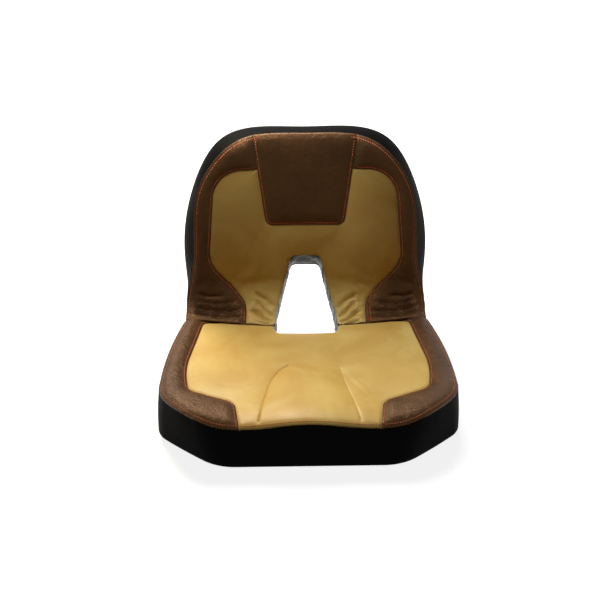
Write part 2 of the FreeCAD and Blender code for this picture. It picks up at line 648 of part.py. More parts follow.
# Cover panels: one skin over the seat and one over the back, each cut along its seams
seat_cover = cut("seat_cover", common("seat_cover_blank", seat_skin, seat_outer), opening_gap)
seat_centre_panel = common("seat_centre_panel", seat_cover, seat_gold_zone)
seat_sides = cut("seat_sides", seat_cover, seat_gold_zone)
back_cover = cut("back_cover", common("back_cover_blank", back_skin, back_outer), opening_gap)
headrest_panel = common("headrest_panel", back_cover, headrest_zone)
back_rest = cut("back_rest", back_cover, headrest_zone)
back_centre_panel = common("back_centre_panel", back_rest, back_gold_zone)
back_sides = cut("back_sides", back_rest, back_gold_zone)
right_half = doc.addObject("Part::Box", "right_half")
right_half.Length, right_half.Width, right_half.Height = FAR, 2 * FAR, 2 * FAR
right_half.Placement.Base = Vector(0, -FAR, -FAR)
seat_bolster_right = common("seat_bolster_right", seat_sides, right_half)
seat_bolster_left = cut("seat_bolster_left", seat_sides, right_half)
back_bolster_right = common("back_bolster_right", back_sides, right_half)
back_bolster_left = cut("back_bolster_left", back_sides, right_half)

# Boxing: the black side bands, each with its hem turned under or behind the pan
seat_band = cut("seat_band", common("seat_band_block", seat_below, seat_outer, hem_outside), seat_hem_gap)
seat_shell = cut("seat_shell", seat_band, common("seat_band_core", seat_inner, pan_outside))
seat_boxing = cut("seat_boxing", seat_shell, *seat_holes)
back_band = cut("back_band", common("back_band_block", back_below, back_outer, hem_outside), back_hem_gap)
back_shell = cut("back_shell", back_band, common("back_band_core", back_inner, pan_outside))
back_boxing = cut("back_boxing", back_shell, *back_holes)

# Opening liner: the sleeve between the covers and the back of the pan
sleeve = cut("sleeve", opening_hole, opening_gap)
opening_liner = fuse("opening_liner", common("liner_in_seat", sleeve, seat_below, seat_inner, pan_outside),
                     common("liner_in_back", sleeve, back_below, pan_outside))

# Check and write
doc.recompute()
NODES = {
    "seat_pan": [seat_pan],
    "threaded_inserts": insert_bodies,
    "seat_foam": [seat_foam],
    "back_foam": [back_foam],
    "seat_centre_panel": [seat_centre_panel],
    "seat_bolster_left": [seat_bolster_left],
    "seat_bolster_right": [seat_bolster_right],
    "back_centre_panel": [back_centre_panel],
    "back_bolster_left": [back_bolster_left],
    "back_bolster_right": [back_bolster_right],
    "headrest_panel": [headrest_panel],
    "seat_boxing": [seat_boxing],
    "back_boxing": [back_boxing],
    "opening_liner": [opening_liner],
    "seat_hem_staples": seat_staples,
    "back_hem_staples": back_staples,
}
for made in doc.Objects:
    if "Invalid" in made.State or "Error" in made.State:
        raise RuntimeError("%s did not compute: %s" % (made.Label, made.State))
    if hasattr(made, "Shape") and (made.Shape.isNull() or not made.Shape.isValid()):
        raise RuntimeError("%s has no valid shape" % made.Label)

os.makedirs("parts", exist_ok=True)
for name, members in NODES.items():
    solids = [solid for member in members for solid in member.Shape.Solids]
    shape = solids[0] if len(solids) == 1 else Part.makeCompound(solids)
    shape.exportStep("parts/%s.step" % name)
    print("%-20s %2d solid  %9.0f mm3" % (name, len(solids), sum(s.Volume for s in solids)))
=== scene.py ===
"""Ride-on mower seat, dressed over its CAD frame: sewn leather-cloth covers, vinyl bands, thread and pan."""
import math

import bmesh
import bpy
import numpy as np
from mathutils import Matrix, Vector
from mathutils.geometry import delaunay_2d_cdt


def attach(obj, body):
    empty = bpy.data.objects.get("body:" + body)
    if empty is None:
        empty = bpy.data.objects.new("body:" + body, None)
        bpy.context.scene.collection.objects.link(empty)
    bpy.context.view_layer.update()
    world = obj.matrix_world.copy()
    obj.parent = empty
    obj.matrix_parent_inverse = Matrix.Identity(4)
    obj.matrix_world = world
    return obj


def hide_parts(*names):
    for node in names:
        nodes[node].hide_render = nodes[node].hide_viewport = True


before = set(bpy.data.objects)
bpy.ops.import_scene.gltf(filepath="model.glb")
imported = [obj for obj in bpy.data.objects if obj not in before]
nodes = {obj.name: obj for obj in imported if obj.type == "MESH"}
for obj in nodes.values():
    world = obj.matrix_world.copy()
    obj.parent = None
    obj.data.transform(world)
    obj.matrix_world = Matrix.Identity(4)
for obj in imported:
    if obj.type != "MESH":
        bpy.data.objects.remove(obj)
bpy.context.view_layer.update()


# Seat pan: one black polypropylene moulding, ribbed below and behind. It is the CAD node itself, with a fine
# spark-eroded grain, and everything else is fixed to it.
def linear(code):
    """Linear colour of an sRGB hex code."""
    parts = [int(code[i:i + 2], 16) / 255 for i in (0, 2, 4)]
    return (*[c / 12.92 if c <= 0.04045 else ((c + 0.055) / 1.055) ** 2.4 for c in parts], 1.0)


def add(tree, kind, values=None, links=None, **settings):
    """Add a shader node with its settings, its sockets' values and its links from other nodes' outputs."""
    node = tree.nodes.new("ShaderNode" + kind)
    for name, value in settings.items():
        setattr(node, name, value)
    for name, value in (values or {}).items():
        node.inputs[name].default_value = value
    for name, output in (links or {}).items():
        tree.links.new(output, node.inputs[name])
    return node


def material(name, **values):
    """New material, its node tree, its shader and the place on the object in metres."""
    made = bpy.data.materials.new(name)
    made.use_nodes = True
    tree = made.node_tree
    shader = tree.nodes["Principled BSDF"]
    for socket, value in values.items():
        shader.inputs[socket.replace("_", " ")].default_value = value
    place = add(tree, "TexCoord").outputs["Object"]
    return made, tree, shader, place


CAD_CREASE, SEWN_CREASE = 32, 50


def dress(node, made):
    """Give a CAD node its material and smooth its curved faces."""
    node.data.materials.clear()
    node.data.materials.append(made)
    node.data.shade_smooth()
    node.data.set_sharp_from_angle(angle=math.radians(CAD_CREASE))


# Moulded polypropylene: black and dull, with an eroded grain that scatters light and scuffs that shine more.
# The grain is far finer on the real pan and is drawn at 0.7 mm so that it shows. The scuffs are 38 mm wide.
# Each scale is the number of repeats in a metre, from the pattern's size in millimetres.
pan_plastic, tree, shader, place = material("black_polypropylene_fine_grain", Base_Color=linear("161617"),
                                            Roughness=0.58, Specular_IOR_Level=0.42)
grain = add(tree, "TexNoise", {"Scale": 1000 / 0.6667, "Detail": 2.0}, {"Vector": place})
bump = add(tree, "Bump", {"Strength": 0.3, "Distance": 0.0002}, {"Height": grain.outputs["Fac"]})
tree.links.new(bump.outputs["Normal"], shader.inputs["Normal"])
scuff = add(tree, "TexNoise", {"Scale": 1000 / 38.46, "Detail": 5.0, "Roughness": 0.6}, {"Vector": place})
gloss = add(tree, "MapRange", {"From Min": 0.35, "From Max": 0.7, "To Min": 0.48, "To Max": 0.68},
            {"Value": scuff.outputs["Fac"]})
tree.links.new(gloss.outputs["Result"], shader.inputs["Roughness"])
dress(nodes["seat_pan"], pan_plastic)


# Threaded inserts: zinc-plated steel bushes moulded into the pan's four bosses, for the bolts that hold the
# seat. They are the CAD node itself.

# Zinc plating: a pale, slightly yellow metal whose shine varies over spangles of 2.4 mm.
zinc, tree, shader, place = material("zinc_plated_steel", Base_Color=linear("b9b6a8"), Metallic=1.0,
                                     Roughness=0.34)
spangle = add(tree, "TexNoise", {"Scale": 1000 / 2.381, "Detail": 3.0}, {"Vector": place})
gloss = add(tree, "MapRange", {"To Min": 0.26, "To Max": 0.46}, {"Value": spangle.outputs["Fac"]})
tree.links.new(gloss.outputs["Result"], shader.inputs["Roughness"])
dress(nodes["threaded_inserts"], zinc)


# Foam: moulded cushions on the pan's base and back. They are hidden, and the covers drawn over them stand for
# them. Their faces give every sewn piece its shape, in millimetres.
SEAM, SEAM_HALF, SEAM_HEIGHT = 112.0, 224.0, 72.0
SEAT_FRONT, BACK_LENGTH = 200.0, 276.0
SEAT_RISE, THIGH_WAVE, WAVE_HALF = 24, 4.5, 113
DISH, SEAT_DISH_LOSS, BACK_DISH_GAIN, BACK_DISH_RUN = 17, 14, 19, 200
ROLL, SEAT_ROLL_DROP, BACK_ROLL_DROP = 40, 7, 8
LEAD, BIGHT, RECLINE = 6.0, 75.0, math.radians(11)
TURN = math.pi / 2 - RECLINE
BEND = LEAD + BIGHT * TURN


def smooth(value):
    """Soft step from 0 to 1."""
    value = np.clip(value, 0.0, 1.0)
    return value * value * (3 - 2 * value)


def unit(vectors):
    """The same vectors with length one."""
    return vectors / np.linalg.norm(vectors, axis=1)[:, None]


def seat_height(x, y):
    """Height of the seat's face: it rises to the front, dips for the thighs and rolls over the front edge."""
    share = (SEAM - y) / (SEAM + SEAT_FRONT)
    rolled = np.maximum(0.0, ROLL - (y + SEAT_FRONT)) / ROLL
    wave = THIGH_WAVE * np.cos(np.pi * x / WAVE_HALF)
    dish = (DISH - SEAT_DISH_LOSS * share) * (x / SEAM_HALF) ** 2
    return SEAM_HEIGHT + (SEAT_RISE + wave) * share ** 2 - SEAT_ROLL_DROP * rolled ** 2 + dish


def seat_point(flat, lift):
    """Points of the seat cover from their place seen from above, lifted along the face's normal."""
    x, y = flat[:, 0], flat[:, 1]
    slope_x = seat_height(x + 0.5, y) - seat_height(x - 0.5, y)
    slope_y = seat_height(x, y + 0.5) - seat_height(x, y - 0.5)
    normal = unit(np.stack([-slope_x, -slope_y, np.ones_like(x)], axis=1))
    return np.stack([x, y, seat_height(x, y)], axis=1) + normal * np.broadcast_to(lift, x.shape)[:, None]


def back_out(x, along):
    """How far the back's face stands out of its plain bend: dished sides and a rolled top edge."""
    dish = DISH + BACK_DISH_GAIN * smooth(along / BACK_DISH_RUN)
    rolled = np.maximum(0.0, along - (BEND + BACK_LENGTH - ROLL)) / ROLL
    return dish * (x / SEAM_HALF) ** 2 - BACK_ROLL_DROP * rolled ** 2


def back_point(flat, lift):
    """Points of the back cover from their place on the unrolled back, lifted along the bend's normal."""
    x, along = flat[:, 0], flat[:, 1]
    angle = np.clip((along - LEAD) / BIGHT, 0.0, TURN)
    over = np.maximum(0.0, along - BEND)
    y = SEAM + np.minimum(along, LEAD) + BIGHT * np.sin(angle) + over * math.cos(TURN)
    z = SEAM_HEIGHT + BIGHT * (1 - np.cos(angle)) + over * math.sin(TURN)
    out = back_out(x, along) + lift
    return np.stack([x, y - np.sin(angle) * out, z + np.cos(angle) * out], axis=1)


BEND_Y = SEAM + LEAD + BIGHT * math.sin(TURN)
BEND_Z = SEAM_HEIGHT + BIGHT * (1 - math.cos(TURN))


def plane_point(x, up, out):
    """Points in the back's own flat frame: up its slope from the bend's end and out towards the sitter."""
    return np.stack([x, BEND_Y + up * math.cos(TURN) - out * math.sin(TURN),
                     BEND_Z + up * math.sin(TURN) + out * math.cos(TURN)], axis=1)


def unrolled(up):
    """Length along the unrolled back of a height up its slope, below the bend's end too."""
    low = np.arcsin(np.clip(-np.minimum(up, 0.0) / BIGHT, 0.0, math.sin(TURN)))
    return np.where(up >= 0, BEND + up, BEND - BIGHT * low)


# Seat boxing: the black vinyl band round the seat. Its upper edge is sewn to the covers and its hem is turned
# under the pan's base.
def arc(start, middle, stop, count):
    """Points of the circular arc through three points, without the last."""
    (ax, ay), (bx, by), (cx, cy) = start, middle, stop
    a, b, c = ax * ax + ay * ay, bx * bx + by * by, cx * cx + cy * cy
    d = 2 * (ax * (by - cy) + bx * (cy - ay) + cx * (ay - by))
    ux = (a * (by - cy) + b * (cy - ay) + c * (ay - by)) / d
    uy = (a * (cx - bx) + b * (ax - cx) + c * (bx - ax)) / d
    radius = math.hypot(ax - ux, ay - uy)
    turns = np.unwrap([math.atan2(y - uy, x - ux) for x, y in (start, middle, stop)])
    angle = np.linspace(turns[0], turns[2], count, endpoint=False)
    return np.stack([ux + radius * np.cos(angle), uy + radius * np.sin(angle)], axis=1)


def line(start, stop, count):
    """Points of a straight line, without the last."""
    return np.linspace(start, stop, count, endpoint=False)


def corner_arc(before, corner, after, radius):
    """Start, middle and end of the rounding of one corner."""
    corner = np.array(corner, float)
    to_last = np.array(before, float) - corner
    to_next = np.array(after, float) - corner
    to_last /= np.linalg.norm(to_last)
    to_next /= np.linalg.norm(to_next)
    half = math.acos(np.clip(to_last @ to_next, -1, 1)) / 2
    inward = (to_last + to_next) / np.linalg.norm(to_last + to_next)
    run = radius / math.tan(half)
    middle = corner + inward * (radius / math.sin(half) - radius)
    return corner + to_last * run, middle, corner + to_next * run


FOOT_HALF, FOOT_FRONT, EDGE_HALF, EDGE_RADIUS = 261, 216, 250, 108
CUT_SIDE, CUT_FRONT, CUT_SHIFT, CUT_SIDE_ROUND, CUT_FRONT_ROUND = -128, 150, 0.4, 34, 90
WALL_FOOT, WALL_RISE, SIDE_BOW = -20, 155, 0.25


def seat_rims(inset):
    """Right halves of the seat's foot and upper outline, from the seam to the middle of the front."""
    rear = SEAM_HALF - inset
    half, front = FOOT_HALF - inset, FOOT_FRONT - inset
    low, fore = (half, CUT_SIDE + CUT_SHIFT * inset), (CUT_FRONT - CUT_SHIFT * inset, -front)
    first = corner_arc((half, 0), low, fore, CUT_SIDE_ROUND)
    second = corner_arc(low, fore, (0, -front), CUT_FRONT_ROUND)
    cut = [arc(*first, 16), line(first[2], second[0], 24), arc(*second, 18)]
    corners = [(half, front, first[0], cut, second[2])]

    half, front, radius = EDGE_HALF - inset, SEAT_FRONT - inset, EDGE_RADIUS - inset
    middle = np.array([half - radius, radius - front])

    def at(degrees):
        turn = math.radians(degrees)
        return middle + radius * np.array([math.cos(turn), -math.sin(turn)])

    spans = ((0, 25, 16), (25, 62, 24), (62, 90, 18))
    corners.append((half, front, at(0), [arc(at(a), at((a + b) / 2), at(b), n) for a, b, n in spans], at(90)))
    rims = []
    for half, front, start, corner, last in corners:
        bow = (half - SIDE_BOW * (half - rear), (SEAM + start[1]) / 2)
        side = arc((rear, SEAM), bow, start, 70)
        rims.append(np.concatenate([side, *corner, line(last, (0, -front), 40), [(0, -front)]]))
    return rims


def both_sides(half):
    """Right half, run from the seam to the middle, followed by its mirror image."""
    return np.concatenate([half, (half * ((-1, 1, 1)[:half.shape[1]]))[-2::-1]])


def seat_wall(height, inset=0.0):
    """Outline of the seat's band at a height, which may differ from point to point."""
    foot, head = [both_sides(rim) for rim in seat_rims(inset)]
    return foot + (head - foot) * (np.broadcast_to(height, (len(foot),))[:, None] - WALL_FOOT) / WALL_RISE


seat_edge = seat_wall(90.0)
for _ in range(3):
    seat_edge = seat_wall(seat_height(seat_edge[:, 0], seat_edge[:, 1]))


def ripple(along, seed, pitch):
    """Smooth seeded noise along a line, between -1 and 1."""
    rng = np.random.default_rng(seed)
    knots = rng.uniform(-1, 1, int(along.max() / pitch) + 4)
    place = along / pitch
    low = place.astype(int)
    return knots[low] + (knots[low + 1] - knots[low]) * smooth(place - low)


def run_length(points):
    """Length along a line up to each of its points."""
    return np.concatenate([[0], np.cumsum(np.linalg.norm(np.diff(points, axis=0), axis=1))])


def piece(name, points, faces, made, stands_for=()):
    """Make a mesh piece from millimetre points, fix it to the seat and say which CAD nodes it stands for."""
    mesh = bpy.data.meshes.new(name)
    mesh.from_pydata((np.asarray(points) * 0.001).tolist(), [], faces)
    work = bmesh.new()
    work.from_mesh(mesh)
    bmesh.ops.recalc_face_normals(work, faces=work.faces)
    work.to_mesh(mesh)
    work.free()
    mesh.materials.append(made)
    mesh.shade_smooth()
    mesh.set_sharp_from_angle(angle=math.radians(SEWN_CREASE))
    made_object = bpy.data.objects.new(name, mesh)
    bpy.context.scene.collection.objects.link(made_object)
    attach(made_object, "root")
    if stands_for:
        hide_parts(*stands_for)
    return made_object


def band(profiles):
    """Points and faces of a solid band: one closed profile per station, capped at both ends."""
    profiles = np.asarray(profiles)
    stations, around = profiles.shape[:2]
    index = np.arange(stations * around).reshape(stations, around).tolist()
    faces = [(a[j], a[(j + 1) % around], b[(j + 1) % around], b[j])
             for a, b in zip(index, index[1:]) for j in range(around)]
    faces += [index[0], index[-1][::-1]]
    return profiles.reshape(-1, 3), faces


# Expanded vinyl: deep black with hardly any shine, soft to the eye from its foamed back. Its cast grain is
# drawn at 1.1 mm, coarser than the real one so that it shows, over swellings of 17 mm.
vinyl, tree, shader, place = material("black_expanded_vinyl_fine_grain", Base_Color=linear("080707"),
                                      Roughness=0.6, Specular_IOR_Level=0.02)
cells = add(tree, "TexVoronoi", {"Scale": 1000 / 1.111}, {"Vector": place}, feature="SMOOTH_F1")
swelling = add(tree, "TexNoise", {"Scale": 1000 / 16.67, "Detail": 4.0}, {"Vector": place})
fine = add(tree, "Bump", {"Strength": 0.35, "Distance": 0.00025}, {"Height": cells.outputs["Distance"]})
soft = add(tree, "Bump", {"Strength": 0.2, "Distance": 0.001},
           {"Height": swelling.outputs["Fac"], "Normal": fine.outputs["Normal"]})
tree.links.new(soft.outputs["Normal"], shader.inputs["Normal"])

EDGE_DROP, COVER = 3.0, 2.4
HEM_TURN, BAND_WALL, BAND_BELLY, END_FADE = 11, 2.8, 1.6, 20
SEAT_HEM = ((1.2, 8.2), (4.0, 7.0), (14.0, 7.0), (25.5, 7.1), (27.0, 8.5), (25.5, 9.9), (4.5, 9.9))
top = seat_height(seat_edge[:, 0], seat_edge[:, 1]) - EDGE_DROP - COVER
length = run_length(seat_edge)
along = np.gradient(seat_edge, axis=0)
across = unit(np.stack([-along[:, 1], along[:, 0]], axis=1))
pucker = 0.5 * ripple(length, 3, 9.0) + 0.7 * ripple(length, 4, 26.0)
swell = 0.9 * ripple(length, 5, 70.0)
profile = []
for share in np.linspace(0, 1, 22):
    height = top + (HEM_TURN - top) * share
    wall = seat_wall(height)
    belly = math.sin(math.pi * share)
    out = BAND_BELLY * belly + pucker * math.exp(-share / 0.16) + swell * belly
    out = out * np.clip(np.minimum(length, length[-1] - length) / END_FADE, 0, 1)
    profile.append(np.column_stack([wall + across * out[:, None], height]))
for inset, height in SEAT_HEM:
    profile.append(np.column_stack([seat_wall(height, inset), np.full(len(length), height)]))
for share in (0.75, 0.5, 0.25, 0.0):
    height = top + (HEM_TURN - top) * share
    profile.append(np.column_stack([seat_wall(height, BAND_WALL), height]))
points, faces = band(np.stack(profile, axis=1))
piece("seat_boxing_band", points, faces, vinyl, ["seat_boxing"])


# Back boxing: the same band round the back. It meets the seat's band at the sides, below the bend, and its
# hem is turned round the pan's rim.
def spline(points, start, stop, count):
    """Smooth curve through points with given end directions, with so many samples a span."""
    points = np.asarray(points, float)
    knots = run_length(points)
    size = len(points)
    left = np.zeros((size, size))
    right = np.zeros_like(points)
    left[0, 0] = left[-1, -1] = 1.0
    right[0], right[-1] = start, stop
    step = np.diff(knots)
    for i in range(1, size - 1):
        a, b = step[i - 1], step[i]
        left[i, i - 1:i + 2] = b, 2 * (a + b), a
        right[i] = 3 * (b / a * (points[i] - points[i - 1]) + a / b * (points[i + 1] - points[i]))
    slopes = np.linalg.solve(left, right)
    found = []
    for i in range(size - 1):
        u = np.linspace(0, 1, count, endpoint=False)[:, None]
        found.append(points[i] * (1 + 2 * u) * (1 - u) ** 2 + slopes[i] * step[i] * u * (1 - u) ** 2
                     + points[i + 1] * u * u * (3 - 2 * u) + slopes[i + 1] * step[i] * u * u * (u - 1))
    return np.concatenate(found + [points[-1:]])


FRONT_RIM, REAR_RIM = (208, 195, 140, 30, 11), (229, 206, 154, 19, 0)
HIP_UP, WAIST_UP, SHOULDER_DOWN = -61, 50, 101
RIM_FRONT_OUT, RIM_DEPTH = 22, 42
RIM_STEPS, LOW_STEPS, HIP_STATIONS = 34, 24, 20


def back_rim(sizes, inset):
    """Half outline of the back in its own flat frame, from the hip to the middle of the top."""
    waist, shoulder, crown, drop, top_drop = sizes
    half = [(SEAM_HALF - inset, HIP_UP), (waist - inset, WAIST_UP),
            (shoulder - inset, BACK_LENGTH - SHOULDER_DOWN),
            (crown - 0.5 * inset, BACK_LENGTH - drop - 0.8 * inset), (0, BACK_LENGTH - top_drop - inset)]
    loop = half + [(-x, up) for x, up in half[-2::-1]]
    return spline(loop, (0, 1), (0, -1), RIM_STEPS)[:(len(half) - 1) * RIM_STEPS + 1]


def front_edge():
    """Edge of the back's cover on the unrolled back, from the seam up to the middle of the top."""
    front, rear = back_rim(FRONT_RIM, 0), back_rim(REAR_RIM, 0)
    out = back_out(front[:, 0], unrolled(front[:, 1]))
    share = np.clip((RIM_FRONT_OUT - out) / RIM_DEPTH, 0, 1)[:, None]
    share[:HIP_STATIONS] = 0
    rim = front + (rear - front) * share
    rim = np.column_stack([rim[:, 0], unrolled(rim[:, 1])])
    low = line((SEAM_HALF, 0), rim[0], LOW_STEPS)
    return np.concatenate([low, rim])


PAN_RADIUS, PAN_DEPTH, PAN_FLOOR, PAN_BEND = 890.0, 43.0, 14.0, 40.0


def shell_out(x, offset):
    """Distance of the pan's curved back from the back's flat frame, at an offset outside its inner face."""
    return PAN_RADIUS - PAN_DEPTH - np.sqrt((PAN_RADIUS + offset) ** 2 - np.asarray(x, float) ** 2)


def rear_path(x, offset, count):
    """Foot, bend and rise of the pan at a distance from the middle, from the seam to the hips."""
    floor, radius = PAN_FLOOR - offset, PAN_BEND + offset
    base = plane_point(np.zeros(1), np.zeros(1), shell_out(np.array([x]), offset))[0]
    up = np.array([math.cos(TURN), math.sin(TURN)])
    centre_z = floor + radius
    foot = base[1:] + up * (centre_z - base[2]) / up[1]
    centre = np.array([foot[0] - radius / up[1], centre_z])
    angles = np.linspace(-math.pi / 2, -math.pi / 2 + TURN, count)
    bend = centre + radius * np.stack([np.cos(angles), np.sin(angles)], axis=1)
    flat = np.column_stack([line(SEAM, centre[0], count // 2), np.full(count // 2, floor)])
    rise = np.linspace(bend[-1], base[1:] + up * HIP_UP, 5)[1:]
    return np.concatenate([flat, bend, rise])


def even(points, count):
    """The same line with evenly spaced points."""
    at = run_length(points)
    want = np.linspace(0, at[-1], count)
    return np.stack([np.interp(want, at, points[:, k]) for k in range(points.shape[1])], axis=1)


def rear_rim(inset, offset):
    """Right half of the back band's rear edge on the pan's back, station by station with the front edge."""
    x = SEAM_HALF - inset
    low = even(rear_path(x, offset, 24), LOW_STEPS + 1)[:-1]
    low = np.column_stack([np.full(LOW_STEPS, x), low])
    rim = back_rim(REAR_RIM, inset)
    high = plane_point(rim[:, 0], rim[:, 1], shell_out(rim[:, 0], offset))
    return np.concatenate([low, high])


BACK_BAND_WALL, BACK_BAND_BELLY = 2.6, 1.5
BACK_HEM = ((1.5, 6.2), (4.0, 7.0), (13.0, 7.0), (25.0, 6.9), (26.6, 5.5), (25.0, 4.1), (4.5, 4.1))
edge_half = front_edge()
front_line = both_sides(back_point(edge_half, -EDGE_DROP - COVER))
rear_line = both_sides(rear_rim(0.6, 4.5))
length = run_length((front_line + rear_line) / 2)
pucker = 0.5 * ripple(length, 13, 9.0) + 0.8 * ripple(length, 14, 30.0)
swell = 0.9 * ripple(length, 15, 70.0)
direction = np.gradient((front_line + rear_line) / 2, axis=0)
outward = unit(np.cross(direction, rear_line - front_line))
if outward[60, 0] < 0:
    outward = -outward
ends = np.clip(np.minimum(length, length[-1] - length) / END_FADE, 0, 1)
profile = []
for share in np.linspace(0, 1, 18):
    out = (BACK_BAND_BELLY + swell) * math.sin(math.pi * share) + pucker * math.exp(-share / 0.18)
    profile.append(front_line + (rear_line - front_line) * share + outward * (out * ends)[:, None])
for inset, offset in BACK_HEM:
    profile.append(both_sides(rear_rim(inset, offset)))
inner_front = front_line - outward * BACK_BAND_WALL
inner_rear = both_sides(rear_rim(3.0, 3.0))
for share in (0.8, 0.5, 0.25, 0.0):
    profile.append(inner_front + (inner_rear - inner_front) * share)
points, faces = band(np.stack(profile, axis=1))
piece("back_boxing_band", points, faces, vinyl, ["back_boxing"])


# Hem staples: zinc-plated wire staples that hold both hems on the pan, shot through the vinyl into the
# plastic. They are the CAD nodes themselves.
dress(nodes["seat_hem_staples"], zinc)
dress(nodes["back_hem_staples"], zinc)


# Seat covers: a gold centre panel between two brown bolster panels, sewn along one seam and stretched over
# the foam. They are cut on one flat pattern, so neighbours share their seam.
def rounded(corners, step=2.5):
    """Closed line through (a, b, radius) corners, each rounded by its radius."""
    ends = []
    count = len(corners)
    for i, (a, b, radius) in enumerate(corners):
        if radius == 0:
            ends.append(np.array([(a, b)], float))
            continue
        run = corner_arc(corners[i - 1][:2], (a, b), corners[(i + 1) % count][:2], radius)
        chord = np.linalg.norm(run[0] - run[1]) + np.linalg.norm(run[1] - run[2])
        ends.append(np.concatenate([arc(*run, max(3, int(chord / step))), run[2][None]]))
    found = []
    for i in range(count):
        found.append(ends[i])
        start, stop = ends[i][-1], ends[(i + 1) % count][0]
        steps = max(1, int(np.linalg.norm(stop - start) / step))
        found.append(line(start, stop, steps)[1:])
    return np.concatenate(found)


def mirrored(half):
    """Corners of the right half followed by those of the left."""
    return half + [(-a, b, radius) for a, b, radius in reversed(half)]


def inside(points, loop):
    """Which points lie inside a closed loop."""
    x, y = points[:, 0][:, None], points[:, 1][:, None]
    x0, y0 = loop[:, 0][None], loop[:, 1][None]
    x1, y1 = np.roll(loop[:, 0], -1)[None], np.roll(loop[:, 1], -1)[None]
    crosses = (y0 > y) != (y1 > y)
    with np.errstate(divide="ignore", invalid="ignore"):
        hit = x < (x1 - x0) * (y - y0) / (y1 - y0) + x0
    return (np.sum(crosses & hit, axis=1) % 2) == 1


def distance(points, run, closed=False):
    """Shortest distance of each point from a line of points."""
    start = run if closed else run[:-1]
    stop = np.roll(run, -1, axis=0) if closed else run[1:]
    along = stop - start
    size = np.maximum((along ** 2).sum(axis=1), 1e-9)
    best = np.full(len(points), 1e9)
    for low in range(0, len(points), 2000):
        part = points[low:low + 2000]
        gap = part[:, None, :] - start[None]
        share = np.clip((gap * along[None]).sum(axis=2) / size[None], 0, 1)
        away = gap - share[:, :, None] * along[None]
        best[low:low + 2000] = np.sqrt((away ** 2).sum(axis=2)).min(axis=1)
    return best


def offset_line(run, by, closed=False):
    """A line moved sideways, to the left of its direction for a positive distance."""
    if closed:
        ahead = np.roll(run, -1, axis=0) - np.roll(run, 1, axis=0)
    else:
        ahead = np.gradient(run, axis=0)
    ahead = ahead / np.maximum(np.linalg.norm(ahead, axis=1), 1e-9)[:, None]
    return run + np.stack([-ahead[:, 1], ahead[:, 0]], axis=1) * by


CELL, SPACING = 3.0, 5.0
SEAM_ROWS = ((1.3, 0.9), (3.0, 1.4), (5.0, 1.8), (7.5, 2.2))
FOLD_ROWS, FOLD_APART, FOLD_STEP = (0.0, -1.6, 1.6, -3.6, 3.6), 1.3, 1.5


def pattern(lines, folds):
    """Flat mesh inside the first line and outside the last, and the middles of its triangles.

    Its edges run along the lines, with finer rows beside each line and fold.
    """
    kept, cells = [], {}

    def cell(p):
        return int(p[0] // CELL), int(p[1] // CELL)

    def store(p):
        kept.append((float(p[0]), float(p[1])))
        cells.setdefault(cell(p), []).append(kept[-1])

    def keep(points, apart):
        reach = int(apart // CELL) + 1
        for p in points:
            a, b = cell(p)
            near = any((p[0] - q[0]) ** 2 + (p[1] - q[1]) ** 2 < apart * apart
                       for i in range(a - reach, a + reach + 1) for j in range(b - reach, b + reach + 1)
                       for q in cells.get((i, j), ()))
            if not near:
                store(p)

    edges = []
    for run, closed in lines:
        first = len(kept)
        for p in run:
            store(p)
        edges += [(i, i + 1) for i in range(first, len(kept) - 1)]
        if closed:
            edges.append((len(kept) - 1, first))
    for by, apart in SEAM_ROWS:
        for run, closed in lines:
            for side in (-by, by):
                keep(offset_line(run, side, closed), apart)
    for run, width, depth in folds:
        run = np.array(run, float)
        run = even(run, int(run_length(run)[-1] / FOLD_STEP))
        for side in FOLD_ROWS:
            keep(offset_line(run, side), FOLD_APART)
    low = np.min([run.min(axis=0) for run, closed in lines], axis=0)
    high = np.max([run.max(axis=0) for run, closed in lines], axis=0)
    for i, y in enumerate(np.arange(low[1], high[1], SPACING * 0.866)):
        xs = np.arange(low[0] + (i % 2) * SPACING / 2, high[0], SPACING)
        keep(np.stack([xs, np.full(len(xs), y)], axis=1), SPACING * 0.62)
    found = delaunay_2d_cdt([Vector(p) for p in kept], edges, [], 0, 1e-4)
    flat = np.array([tuple(p) for p in found[0]])
    triangles = np.array([tuple(face) for face in found[2]])
    middle = flat[triangles].mean(axis=1)
    wanted = inside(middle, lines[0][0]) & ~inside(middle, lines[-1][0])
    return flat, triangles[wanted], middle[wanted]


def panel(name, flat, triangles, shape, lift, made, stands_for):
    """Closed cover panel: its face and underside from one part of the pattern, joined round its edge."""
    used, new = np.unique(triangles, return_inverse=True)
    triangles = new.reshape(triangles.shape)
    upper = shape(flat[used], lift[used])
    lower = shape(flat[used], lift[used] - COVER)
    size = len(used)
    faces = triangles.tolist()
    edges = [edge for a, b, c in faces for edge in ((a, b), (b, c), (c, a))]
    known = set(edges)
    faces += [(a + size, c + size, b + size) for a, b, c in triangles.tolist()]
    faces += [(b, a, a + size, b + size) for a, b in edges if (b, a) not in known]
    return piece(name, np.concatenate([upper, lower]), faces, made, stands_for)


def well(gap, width):
    """A soft groove: one at no distance, falling to nothing."""
    return np.exp(-(gap / width) ** 2)


def creased(flat, folds):
    """Depth of the grooves along loose folds, fading at both ends of each."""
    total = np.zeros(len(flat))
    for run, width, depth in folds:
        run = even(np.array(run, float), 40)
        ends = np.minimum(np.linalg.norm(flat - run[0], axis=1), np.linalg.norm(flat - run[-1], axis=1))
        total += depth * (well(distance(flat, run), width) * smooth(ends / (4 * width) + 0.15))
    return total


